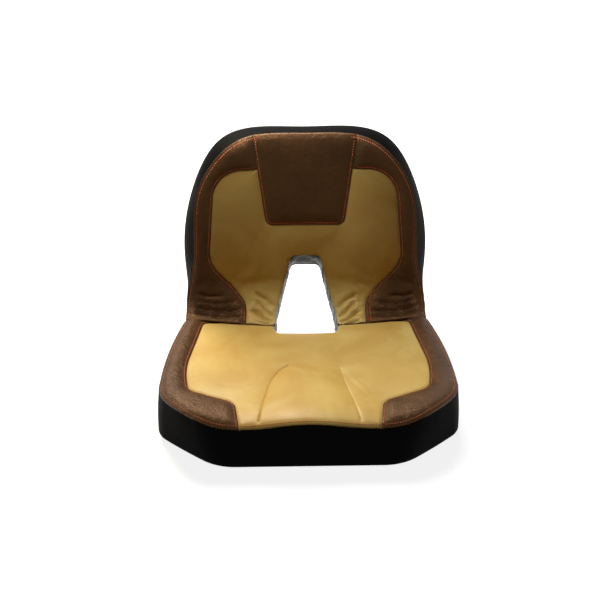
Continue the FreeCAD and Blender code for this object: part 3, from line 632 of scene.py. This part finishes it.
EDGE_FADE, HOLE_DROP, HOLE_FADE = 9, 2.2, 7
REAR_GROOVE, REAR_WIDTH = 1.8, 4.5
SEAM_GROOVE, SEAM_WIDTH = 1.7, 2.2
SEAM_ROW, ROW_GROOVE, ROW_WIDTH = 4.2, 0.6, 1.4
EDGE_ROW, EDGE_ROW_GROOVE, EDGE_ROW_WIDTH = 5.2, 0.5, 1.3
CROWN, CROWN_RUN = 2.6, 34


def tucked(to_edge, to_rear, to_hole):
    """Lift that all panels share: down at the edge, the rear seam, the opening and the row along the edge."""
    return -EDGE_DROP * np.clip(1 - to_edge / EDGE_FADE, 0, 1) ** 2 \
        - REAR_GROOVE * well(to_rear, REAR_WIDTH) - HOLE_DROP * np.clip(1 - to_hole / HOLE_FADE, 0, 1) ** 2 \
        - EDGE_ROW_GROOVE * well(to_edge - EDGE_ROW, EDGE_ROW_WIDTH)


def crowned(lift, to_seam, *others):
    """Lift of a gold panel, swelling away from all its edges and sunk at its seam."""
    near = np.minimum.reduce([to_seam, *others])
    return lift + CROWN * (1 - np.exp(-near / CROWN_RUN)) - SEAM_GROOVE * well(to_seam, SEAM_WIDTH)


def sunk(lift, to_seam):
    """Lift of a brown panel, sunk at its seam and at the row of stitches beside it."""
    return lift - SEAM_GROOVE * well(to_seam, SEAM_WIDTH) - ROW_GROOVE * well(to_seam - SEAM_ROW, ROW_WIDTH)


CLOTH_FRAMES, CLOTH_RISE, CLOTH_SINK, FOLD_HOLD = 20, 4.0, 0.4, 0.3


def settled(flat, triangles, shape, lift, held, slack):
    """Rise of a cover's points when its cloth is blown up, held at its seams and slack in places."""
    used, new = np.unique(triangles, return_inverse=True)
    start = shape(flat[used], lift[used])
    mesh = bpy.data.meshes.new("cloth_sheet")
    mesh.from_pydata((start * 0.001).tolist(), [], new.reshape(triangles.shape).tolist())
    sheet = bpy.data.objects.new("cloth_sheet", mesh)
    scene = bpy.context.scene
    scene.collection.objects.link(sheet)
    for name, weights in (("held", held[used]), ("taut", 1.0 - slack[used])):
        group = sheet.vertex_groups.new(name=name)
        for i, weight in enumerate(weights.tolist()):
            group.add([i], weight, "REPLACE")
    cloth = sheet.modifiers.new("cloth", "CLOTH")
    rules = cloth.settings
    rules.quality = 5
    rules.mass = 0.02
    rules.air_damping = 4.0
    rules.tension_stiffness = rules.compression_stiffness = 12.0
    rules.shear_stiffness = 4.0
    rules.bending_stiffness = 0.05
    rules.vertex_group_mass = "held"
    rules.pin_stiffness = 0.6
    rules.vertex_group_shrink = "taut"
    rules.shrink_min, rules.shrink_max = -0.03, 0.0
    rules.use_pressure = True
    rules.uniform_pressure_force = 2.0
    rules.effector_weights.gravity = 0.0
    cloth.collision_settings.use_collision = False
    cloth.point_cache.frame_start, cloth.point_cache.frame_end = 1, CLOTH_FRAMES
    for step in range(1, CLOTH_FRAMES + 1):
        scene.frame_set(step)
    done = sheet.evaluated_get(bpy.context.evaluated_depsgraph_get()).data
    moved = np.empty(3 * len(used))
    done.vertices.foreach_get("co", moved)
    up = shape(flat[used], lift[used] + 1.0) - start
    rise = np.zeros(len(flat))
    rise[used] = ((moved.reshape(-1, 3) * 1000 - start) * up).sum(axis=1)
    bpy.data.objects.remove(sheet)
    bpy.data.meshes.remove(mesh)
    scene.frame_set(1)
    rise = np.where(rise < 0, CLOTH_SINK * rise, rise)
    return CLOTH_RISE * np.tanh(rise / CLOTH_RISE)


# The opening runs along a slant. Its outline is given by x and by the height at which the slant meets y = 0.
SLANT, OPENING_TOP, OPENING_FRONT = math.radians(47), 172, 88
FALL, LEAN = math.tan(SLANT), math.cos(SLANT)
top_y = BEND_Y + math.cos(TURN) * (OPENING_TOP - BEND_Z) / math.sin(TURN)
top_level = OPENING_TOP + top_y * FALL
low_level = float(seat_height(0.0, OPENING_FRONT)) + OPENING_FRONT * FALL
seam_level = SEAM_HEIGHT + SEAM * FALL
opening = rounded(mirrored([(60, low_level * LEAN, 12), (57, low_level * LEAN + 50, 120),
                            (27, top_level * LEAN, 12)]), 1.6) / (1, LEAN)
table_y = np.linspace(60, SEAM, 200)
table_v = np.linspace(0, 220, 600)
spine = back_point(np.column_stack([np.zeros(len(table_v)), table_v]), 0.0)


def onto_seat(run):
    """Points of the opening's outline on the seat's pattern."""
    level = seat_height(0.0, table_y) + table_y * FALL
    return np.column_stack([run[:, 0], np.interp(run[:, 1], level, table_y)])


def onto_back(run):
    """Points of the opening's outline on the unrolled back."""
    level = spine[:, 2] + spine[:, 1] * FALL
    return np.column_stack([run[:, 0], np.interp(run[:, 1], level, table_v)])


seat_loop = np.concatenate([seat_edge, line((-SEAM_HALF, SEAM), (SEAM_HALF, SEAM), 170)[1:]])
notch = onto_seat(opening)[opening[:, 1] < seam_level]
notch = notch[np.argsort(np.arctan2(notch[:, 1] - 140, notch[:, 0]))]
notch = np.concatenate([[(notch[0, 0], SEAM + 6)], notch, [(notch[-1, 0], SEAM + 6)]])
gold_seat = rounded(mirrored([
    (164, SEAM + 30, 0), (164, SEAM + 1, 0), (190, SEAM - 6, 12), (213, -41, 260),
    (203, -108, 24), (124, -136, 26), (110, -243, 0)]))

seat_folds = (([(-84, -197), (-76, -140), (-64, -74), (-50, -42), (-30, -22)], 1.5, 2.0),
              ([(56, -36), (64, -90), (75, -140), (84, -196)], 1.5, 1.7))

flat, triangles, middle = pattern([(seat_loop, True), (gold_seat, True), (notch, False)], seat_folds)
is_gold = inside(middle, gold_seat)

to_edge = distance(flat, seat_edge)
to_seam = distance(flat, gold_seat, True)
to_rear = np.abs(flat[:, 1] - SEAM)
to_notch = distance(flat, notch)
SEAT_BOLSTER_SWELL, SEAT_BOLSTER_RUN, SEAT_LOOSE = 4.4, 19, 0.04
common = tucked(to_edge, to_rear, to_notch)
folds = creased(flat, seat_folds)
gold_lift = crowned(common, to_seam, to_edge, to_rear, to_notch) - folds
swell = SEAT_BOLSTER_SWELL * smooth(to_seam / SEAT_BOLSTER_RUN) * smooth(to_edge / SEAT_BOLSTER_RUN)
brown_lift = sunk(common + swell, to_seam)

sewn = (to_edge < 7) | (to_seam < SEAM_WIDTH) | (to_rear < 6) | (to_notch < 7)
held = np.maximum(np.where(sewn, 1.0, SEAT_LOOSE), FOLD_HOLD * np.clip(folds, 0, 1))
start_lift = np.where(inside(flat, gold_seat), gold_lift, brown_lift)
rise = settled(flat, triangles, seat_point, start_lift, held, np.zeros(len(flat)))
gold_lift += rise
brown_lift += rise

# Smooth leather cloth, coated and pressed: warm gold that drifts in clouds of 111 mm, with satin highlights
# that wear of 21 mm breaks up. Its pores are drawn at 1 mm, coarser than the real ones so that they show.
gold_leather, tree, shader, place = material("gold_leather_cloth_smooth_satin", Roughness=0.42,
                                             Specular_IOR_Level=0.34, Specular_Tint=linear("fff0d8"))
cloud = add(tree, "TexNoise", {"Scale": 1000 / 111.1, "Detail": 4.0, "Roughness": 0.55, "Distortion": 0.6},
            {"Vector": place})
tone = add(tree, "ValToRGB", links={"Fac": cloud.outputs["Fac"]})
for stop, level, code in zip(tone.color_ramp.elements, (0.3, 0.72), ("c69a48", "dcbd6c")):
    stop.position, stop.color = level, linear(code)
tree.links.new(tone.outputs["Color"], shader.inputs["Base Color"])
cells = add(tree, "TexVoronoi", {"Scale": 1000 / 1.0526, "Smoothness": 0.6}, {"Vector": place},
            feature="SMOOTH_F1")
wear = add(tree, "TexNoise", {"Scale": 1000 / 20.83, "Detail": 5.0, "Roughness": 0.6}, {"Vector": place})
fine = add(tree, "Bump", {"Strength": 0.22, "Distance": 0.0002}, {"Height": cells.outputs["Distance"]})
soft = add(tree, "Bump", {"Strength": 0.25, "Distance": 0.0014},
           {"Height": wear.outputs["Fac"], "Normal": fine.outputs["Normal"]})
tree.links.new(soft.outputs["Normal"], shader.inputs["Normal"])
gloss = add(tree, "MapRange", {"To Min": 0.34, "To Max": 0.5}, {"Value": wear.outputs["Fac"]})
tree.links.new(gloss.outputs["Result"], shader.inputs["Roughness"])

# Pebbled leather cloth: dark brown that drifts in clouds of 62 mm, with a tan sheen on top of its grain. The
# pebbles are drawn at 3.3 mm, coarser than the real ones so that they show, over crazing of 16 mm.
brown_leather, tree, shader, place = material("brown_leather_cloth_pebbled_sheen", Roughness=0.4,
                                              Specular_IOR_Level=0.42, Specular_Tint=linear("f0b068"),
                                              Sheen_Weight=0.1, Sheen_Tint=linear("c98d4e"))
cloud = add(tree, "TexNoise", {"Scale": 1000 / 62.5, "Detail": 5.0, "Roughness": 0.6}, {"Vector": place})
tone = add(tree, "ValToRGB", links={"Fac": cloud.outputs["Fac"]})
for stop, level, code in zip(tone.color_ramp.elements, (0.3, 0.75), ("2a1c12", "523724")):
    stop.position, stop.color = level, linear(code)
tree.links.new(tone.outputs["Color"], shader.inputs["Base Color"])
pebble = add(tree, "TexVoronoi", {"Scale": 1000 / 3.333, "Randomness": 0.9}, {"Vector": place},
             feature="DISTANCE_TO_EDGE")
crazed = add(tree, "TexNoise", {"Scale": 1000 / 16.13, "Detail": 5.0, "Roughness": 0.62, "Distortion": 0.8},
             {"Vector": place})
fine = add(tree, "Bump", {"Strength": 0.8, "Distance": 0.0008}, {"Height": pebble.outputs["Distance"]})
soft = add(tree, "Bump", {"Strength": 0.7, "Distance": 0.003},
           {"Height": crazed.outputs["Fac"], "Normal": fine.outputs["Normal"]})
tree.links.new(soft.outputs["Normal"], shader.inputs["Normal"])
gloss = add(tree, "MapRange", {"To Min": 0.3, "To Max": 0.52}, {"Value": crazed.outputs["Fac"]})
tree.links.new(gloss.outputs["Result"], shader.inputs["Roughness"])

panel("seat_centre_cover", flat, triangles[is_gold], seat_point, gold_lift, gold_leather,
      ["seat_centre_panel", "seat_foam"])
panel("seat_bolster_cover_left", flat, triangles[~is_gold & (middle[:, 0] < 0)], seat_point, brown_lift,
      brown_leather, ["seat_bolster_left"])
panel("seat_bolster_cover_right", flat, triangles[~is_gold & (middle[:, 0] > 0)], seat_point, brown_lift,
      brown_leather, ["seat_bolster_right"])
seat_flat, seat_brown_lift, seat_gold_lift = flat, brown_lift, gold_lift


# Back covers: a gold panel with two legs down to the seat, brown bolsters round it and a bare brown headrest
# panel. The cloth gathers into folds in the bend, where seat and back meet.
def on_back(loop):
    """Points of the back's own flat frame on the unrolled back."""
    return np.column_stack([loop[:, 0], unrolled(loop[:, 1])])


back_edge = both_sides(edge_half)
back_loop = np.concatenate([back_edge, line((-SEAM_HALF, 0), (SEAM_HALF, 0), 170)[1:]])
gap = onto_back(opening)[opening[:, 1] >= seam_level]
gap = gap[np.argsort(np.arctan2(gap[:, 0], gap[:, 1] - 40))]
gap = np.concatenate([[(gap[0, 0], -6)], gap, [(gap[-1, 0], -6)]])
gold_back = on_back(rounded(mirrored([(112, -73.5, 0), (112, -50, 30), (179, 34, 60), (164, 207, 52)])))
gold_back[gold_back[:, 1] < 0.5, 1] = -8
HEAD_FOOT, HEAD_FOOT_HALF, HEAD_TOP_HALF, HEAD_OVER = 100, 73, 96, 40
slope = (HEAD_TOP_HALF - HEAD_FOOT_HALF) / (BACK_LENGTH - HEAD_FOOT)
headrest = on_back(rounded(mirrored([(HEAD_FOOT_HALF, HEAD_FOOT, 16),
                                     (HEAD_TOP_HALF + HEAD_OVER * slope, BACK_LENGTH + HEAD_OVER, 0)])))

back_folds = []
for run, width, depth in (
        ([(116, 21), (160, 16), (216, 20)], 4.2, 5.5), ([(120, 38), (165, 32), (214, 37)], 4.6, 6.5),
        ([(134, 54), (172, 50), (208, 55)], 4.2, 4.6), ([(152, 68), (188, 66), (208, 72)], 4.2, 3.4),
        ([(60, 10), (82, 20), (107, 41)], 3.6, 5.6), ([(60, 22), (78, 38), (98, 62)], 3.8, 5.0),
        ([(62, 5), (88, 8), (107, 15)], 3.0, 3.4), ([(58, 42), (76, 60), (104, 76)], 5.0, 4.4)):
    back_folds.append(([(-x + 2.0, along + 1.5) for x, along in run], width, depth))
    back_folds.append(([(x - 1.5, along - 2.0) for x, along in run], width, depth))

flat, triangles, middle = pattern([(back_loop, True), (gold_back, True), (headrest, True), (gap, False)],
                                  back_folds)
is_head = inside(middle, headrest)
is_gold = inside(middle, gold_back) & ~is_head

to_edge = distance(flat, back_edge)
to_head = distance(flat, headrest, True)
to_gold = np.where(inside(flat, headrest) & (to_head > 0.3), 99.0, distance(flat, gold_back, True))
to_seam = np.minimum(to_gold, to_head)
to_rear = np.abs(flat[:, 1])
to_gap = distance(flat, gap)
BACK_BOLSTER_SWELL, BACK_BOLSTER_RUN, BACK_LOOSE = 4.0, 17, 0.02
HEAD_SWELL, HEAD_RUN, SLACK_END, SLACK_FADE = 3.4, 26, 105, 60
common = tucked(to_edge, to_rear, to_gap)
folds = creased(flat, back_folds)
gold_lift = crowned(common, to_seam, to_edge, to_rear, to_gap) - folds
swell = BACK_BOLSTER_SWELL * smooth(to_seam / BACK_BOLSTER_RUN) * smooth(to_edge / BACK_BOLSTER_RUN)
brown_lift = sunk(common + swell, to_seam) - folds
head_lift = sunk(common + HEAD_SWELL * smooth(to_head / HEAD_RUN), to_head)

on_head = inside(flat, headrest)
sewn = (to_edge < 7) | (to_seam < SEAM_WIDTH) | (to_rear < 5) | (to_gap < 6) | on_head
held = np.maximum(np.where(sewn, 1.0, BACK_LOOSE), FOLD_HOLD * np.clip(folds / 3, 0, 1))
slack = smooth((SLACK_END - flat[:, 1]) / SLACK_FADE)
start_lift = np.where(on_head, head_lift, np.where(inside(flat, gold_back), gold_lift, brown_lift))
rise = settled(flat, triangles, back_point, start_lift, held, slack)
gold_lift += rise
brown_lift += rise
head_lift += rise

panel("back_centre_cover", flat, triangles[is_gold], back_point, gold_lift, gold_leather,
      ["back_centre_panel", "back_foam"])
is_brown = ~is_gold & ~is_head
panel("back_bolster_cover_left", flat, triangles[is_brown & (middle[:, 0] < 0)], back_point, brown_lift,
      brown_leather, ["back_bolster_left"])
panel("back_bolster_cover_right", flat, triangles[is_brown & (middle[:, 0] > 0)], back_point, brown_lift,
      brown_leather, ["back_bolster_right"])
panel("headrest_cover", flat, triangles[is_head], back_point, head_lift, brown_leather,
      ["headrest_panel"])


# Opening liner: a black glossy vinyl sleeve through the opening in the foam, sewn to the covers' edge in
# front and fixed to the pan behind. It is cut too long and gathers in wrinkles.

# Gloss vinyl film: near black, with long soft reflections that ripples of 14 mm bend.
glossy, tree, shader, place = material("black_gloss_vinyl", Base_Color=linear("0b0b0c"), Roughness=0.3,
                                       Specular_IOR_Level=0.03)
film = add(tree, "TexNoise", {"Scale": 1000 / 14.29, "Detail": 4.0, "Distortion": 1.2}, {"Vector": place})
bump = add(tree, "Bump", {"Strength": 0.4, "Distance": 0.002}, {"Height": film.outputs["Fac"]})
tree.links.new(bump.outputs["Normal"], shader.inputs["Normal"])

LINER_STATIONS, LINER_DEPTH, LINER_WALL, LINER_PUFF = 260, 3.2, 2.4, 2.4
sleeve = even(np.concatenate([opening, opening[:1]]), LINER_STATIONS + 1)[:-1]
at_seat = sleeve[:, 1] < seam_level
start = back_point(onto_back(sleeve), -LINER_DEPTH)
start[at_seat] = seat_point(onto_seat(sleeve), -LINER_DEPTH)[at_seat]
pan_line = rear_path(0.0, 4.0, 40)
further = (pan_line[-1] - pan_line[-2]) * np.arange(1, 60)[:, None]
pan_line = np.concatenate([pan_line, pan_line[-1] + further])
pan_level = pan_line[:, 1] + pan_line[:, 0] * FALL
stop = np.stack([sleeve[:, 0], np.interp(sleeve[:, 1], pan_level, pan_line[:, 0]),
                 np.interp(sleeve[:, 1], pan_level, pan_line[:, 1])], axis=1)
ahead = np.roll(sleeve, -1, axis=0) - np.roll(sleeve, 1, axis=0)
inward = unit(np.stack([-ahead[:, 1], ahead[:, 0]], axis=1))
inward = np.stack([inward[:, 0], np.zeros(len(sleeve)), inward[:, 1]], axis=1)
length = run_length(np.concatenate([sleeve, sleeve[:1]]))[:-1]
wrap = np.minimum(length, length[-1] - length)
at_roof = smooth((sleeve[:, 1] - sleeve[:, 1].max() + 14) / 10)
rows = []
for share in np.linspace(0, 1, 16):
    fold = 1.5 * ripple(wrap + 30 * share, 21, 11.0) + 0.9 * ripple(wrap + 400 - 22 * share, 22, 6.0)
    fold = fold * (1 + 0.8 * at_roof)
    puff = (LINER_PUFF + fold) * math.sin(math.pi * min(1.0, share * 1.15)) ** 0.7 if share < 0.87 else 0.3
    rows.append(start + (stop - start) * share + inward * np.broadcast_to(puff, wrap.shape)[:, None])
for share in (1.0, 0.6, 0.3, 0.0):
    rows.append(start + (stop - start) * share - inward * LINER_WALL)
rows = np.stack(rows, axis=1)
points, faces = band(np.concatenate([rows, rows[:1]]))
points = points[:-rows.shape[1]]
size = len(points)
faces = [tuple(v % size for v in face) for face in faces[:-2]]
piece("opening_sleeve", points, faces, glossy, ["opening_liner"])


# Topstitching: orange-red thread in rows beside the seams and along the edges, sewn through the covers one
# stitch after another.

# Bonded polyester thread: matt, with a fuzzy edge. Its twist of 0.4 mm gives lighter and darker strands.
thread, tree, shader, place = material("orange_polyester_thread", Base_Color=linear("c2552a"), Roughness=0.62,
                                       Sheen_Weight=0.3)
twist = add(tree, "TexNoise", {"Scale": 1000 / 0.3846, "Detail": 2.0}, {"Vector": place})
tone = add(tree, "ValToRGB", links={"Fac": twist.outputs["Fac"]})
for stop, level, code in zip(tone.color_ramp.elements, (0.3, 0.7), ("b04318", "ee7434")):
    stop.position, stop.color = level, linear(code)
tree.links.new(tone.outputs["Color"], shader.inputs["Base Color"])
bump = add(tree, "Bump", {"Strength": 0.5, "Distance": 0.0002}, {"Height": twist.outputs["Fac"]})
tree.links.new(bump.outputs["Normal"], shader.inputs["Normal"])


def surface_lift(points, flat, lift):
    """Lift of the cover at points of the pattern, from the nearest points of its mesh."""
    found = np.empty(len(points))
    for low in range(0, len(points), 400):
        part = points[low:low + 400]
        gaps = ((part[:, None, :] - flat[None]) ** 2).sum(axis=2)
        near = np.argpartition(gaps, 4, axis=1)[:, :4]
        weight = 1 / (np.take_along_axis(gaps, near, axis=1) + 0.05)
        found[low:low + 400] = (lift[near] * weight).sum(axis=1) / weight.sum(axis=1)
    return found


THREAD_RADIUS, STITCH_PITCH, STITCH_GAP, RINGS, SIDES = 0.8, 4.6, 1.0, 6, 6


def stitch(centre, normal):
    """Points and faces of one stitch along its middle line, pulled into the cover at both ends."""
    ahead = centre[-1] - centre[0]
    side = np.cross(normal, ahead / np.linalg.norm(ahead))
    arch = np.sin(math.pi * np.linspace(0, 1, RINGS))
    lift = THREAD_RADIUS * (1.15 * arch ** 0.6 - 0.75)
    wide = THREAD_RADIUS * (0.45 + 0.55 * arch ** 0.5)
    turns = 2 * math.pi / SIDES * np.arange(SIDES)
    return band([[centre[i] + normal * (lift[i] + wide[i] * math.sin(turn)) + side * wide[i] * math.cos(turn)
                  for turn in turns] for i in range(RINGS)])


def sew(name, shape, flat, *rows):
    """Make one piece of thread: stitches along lines of a pattern, each row with the lift that it lies on."""
    points, faces = [], []
    for run, cover_lift in [(run, cover_lift) for runs, cover_lift in rows for run in runs]:
        run = even(run, max(8, int(run_length(run)[-1] / 0.5)))
        path = shape(run, surface_lift(run, flat, cover_lift))
        at = run_length(path)
        for first in np.arange(0.5, at[-1] - STITCH_PITCH, STITCH_PITCH):
            want = first + np.linspace(0, 1, RINGS) * (STITCH_PITCH - STITCH_GAP)
            centre = np.stack([np.interp(want, at, path[:, k]) for k in range(3)], axis=1)
            base = run[int(np.interp(first + STITCH_PITCH / 2, at, np.arange(len(at))))][None]
            normal = (shape(base, np.ones(1)) - shape(base, np.zeros(1)))[0]
            more, more_faces = stitch(centre, normal)
            faces += [tuple(v + len(points) for v in face) for face in more_faces]
            points += more.tolist()
    piece(name, points, faces, thread)


def stretches(run, good, least=8.0):
    """Parts of a line whose points are all good."""
    found, part = [], []
    for p, fine in zip(run, good):
        if fine:
            part.append(p)
        elif part:
            found.append(part)
            part = []
    if part:
        found.append(part)
    return [np.array(p) for p in found if len(p) > 3 and run_length(np.array(p))[-1] > least]


def seam_rows(loop, by, good):
    """Rows beside a closed seam line, outside it for a positive distance, where a test allows them."""
    area = np.sum(loop[:, 0] * np.roll(loop[:, 1], -1) - np.roll(loop[:, 0], -1) * loop[:, 1])
    row = offset_line(loop, -by if area > 0 else by, True)
    allowed = good(row)
    if allowed.any() and not allowed.all():
        first = int(np.argmin(allowed))
        row, allowed = np.roll(row, -first, axis=0), np.roll(allowed, -first)
    return stretches(row, allowed)


seam_row = seam_rows(gold_seat, SEAM_ROW, lambda p: inside(p, seat_loop) & (distance(p, seat_edge) > 4)
                     & (p[:, 1] < SEAM - 3))
edge_row = offset_line(seat_edge, -EDGE_ROW)
on_brown = ~inside(edge_row, gold_seat)
sew("seat_topstitching", seat_point, seat_flat, (seam_row, seat_brown_lift),
    (stretches(edge_row, on_brown & (edge_row[:, 1] < SEAM - 4)), seat_brown_lift),
    (stretches(edge_row, ~on_brown), seat_gold_lift))

seam_row = seam_rows(gold_back, SEAM_ROW, lambda p: inside(p, back_loop) & (distance(p, headrest, True) > 3)
                     & ~inside(p, headrest) & (p[:, 1] > 4))
leg_row = seam_rows(gold_back, 9.0, lambda p: (p[:, 1] > 4) & (p[:, 1] < 46) & (np.abs(p[:, 0]) < 128))
edge_row = offset_line(back_edge, EDGE_ROW)
head_row = seam_rows(headrest, -SEAM_ROW, lambda p: inside(p, back_loop) & (distance(p, back_edge) > 5))
sew("back_topstitching", back_point, flat, (seam_row, brown_lift), (leg_row, brown_lift),
    (stretches(edge_row, edge_row[:, 1] > 5), brown_lift), (head_row, head_lift))


# Floor: a pale studio floor. It looks white to the camera and in reflections, apart from the seat's faint
# shadow, and throws little light back at the seat.
WHITE = (1.0, 1.0, 1.0, 1.0)
FLOOR_HALF, FLOOR_LEVEL = 6, -0.0005


def part_lit(tree, lit, seen, output):
    """Let one shader light the seat and another be seen by camera, glossy and transmission rays."""
    rays = add(tree, "LightPath").outputs
    either = add(tree, "Math", links={0: rays["Is Camera Ray"], 1: rays["Is Glossy Ray"]},
                 operation="MAXIMUM")
    shows = add(tree, "Math", links={0: either.outputs["Value"], 1: rays["Is Transmission Ray"]},
                operation="MAXIMUM")
    choose = add(tree, "MixShader", links={"Fac": shows.outputs["Value"], 1: lit, 2: seen})
    tree.links.new(choose.outputs["Shader"], tree.nodes[output].inputs["Surface"])


floor, tree, shader, place = material("white_studio_floor", Base_Color=linear("404040"), Roughness=0.9,
                                      Specular_IOR_Level=0.0)
reach = add(tree, "VectorMath", links={0: place}, operation="LENGTH")
level = add(tree, "MapRange", {"From Min": 0.6, "From Max": 1.5, "To Min": 0.86, "To Max": 1.0},
            {"Value": reach.outputs["Value"]})
white = add(tree, "Emission", {"Color": WHITE}, {"Strength": level.outputs["Result"]})
pale = add(tree, "BsdfDiffuse", {"Color": (0.8, 0.8, 0.8, 1.0)})
shown = add(tree, "AddShader", links={0: white.outputs["Emission"], 1: pale.outputs["BSDF"]})
part_lit(tree, shader.outputs["BSDF"], shown.outputs["Shader"], "Material Output")
mesh = bpy.data.meshes.new("studio_floor")
mesh.from_pydata([(x * FLOOR_HALF, y * FLOOR_HALF, FLOOR_LEVEL)
                  for x, y in ((-1, -1), (1, -1), (1, 1), (-1, 1))], [], [(0, 1, 2, 3)])
mesh.materials.append(floor)
ground = bpy.data.objects.new("studio_floor", mesh)
bpy.context.scene.collection.objects.link(ground)


# Light: a soft lamp overhead and behind, a warm one behind on the left, a small one above the back and a dim
# room.
def lamp(name, place, target, size, power, colour="ffffff"):
    """Rectangular lamp at a place, turned to a target."""
    light = bpy.data.lights.new(name, "AREA")
    light.color = linear(colour)[:3]
    light.shape = "RECTANGLE"
    light.size, light.size_y = size
    light.energy = power
    holder = bpy.data.objects.new(name, light)
    holder.location = place
    holder.rotation_euler = (Vector(place) - Vector(target)).to_track_quat("Z", "Y").to_euler()
    bpy.context.scene.collection.objects.link(holder)


lamp("overhead_softbox", (-0.05, 0.62, 1.50), (0.0, -0.10, 0.1), (0.6, 0.40), 9.0)
lamp("warm_rear_left", (-0.60, 1.05, 1.22), (-0.10, -0.10, 0.1), (0.5, 0.4), 17.0, "fff0cf")
lamp("top_light", (-0.10, 0.29, 0.60), (0.0, 0.21, 0.1), (0.30, 0.10), 2.0)
world = bpy.data.worlds.new("white_room")
bpy.context.scene.world = world
world.use_nodes = True
tree = world.node_tree
sky = tree.nodes["Background"]
sky.inputs["Color"].default_value = WHITE
sky.inputs["Strength"].default_value = 0.02
shown = add(tree, "Background", {"Color": WHITE, "Strength": 1.0})
part_lit(tree, sky.outputs["Background"], shown.outputs["Background"], "World Output")


# Camera: a little left of the middle and 33 degrees above, as in the photograph. Its lens and its shift give
# the photograph's framing.
ELEVATION, YAW, DISTANCE, AIM_HEIGHT = math.radians(33), math.radians(-1.2), 1.88, 0.17
level_part = math.cos(ELEVATION)
back = Vector((math.sin(YAW) * level_part, -math.cos(YAW) * level_part, math.sin(ELEVATION)))
camera = bpy.data.cameras.new("photo_camera")
camera.sensor_width = 36.0
camera.lens = 65.16
camera.shift_x, camera.shift_y = -0.0125, 0.0233
eye = bpy.data.objects.new("photo_camera", camera)
eye.location = Vector((0, 0, AIM_HEIGHT)) + back * DISTANCE
eye.rotation_euler = back.to_track_quat("Z", "Y").to_euler()
bpy.context.scene.collection.objects.link(eye)
bpy.context.scene.camera = eye
bpy.context.scene.view_settings.view_transform = "Standard"
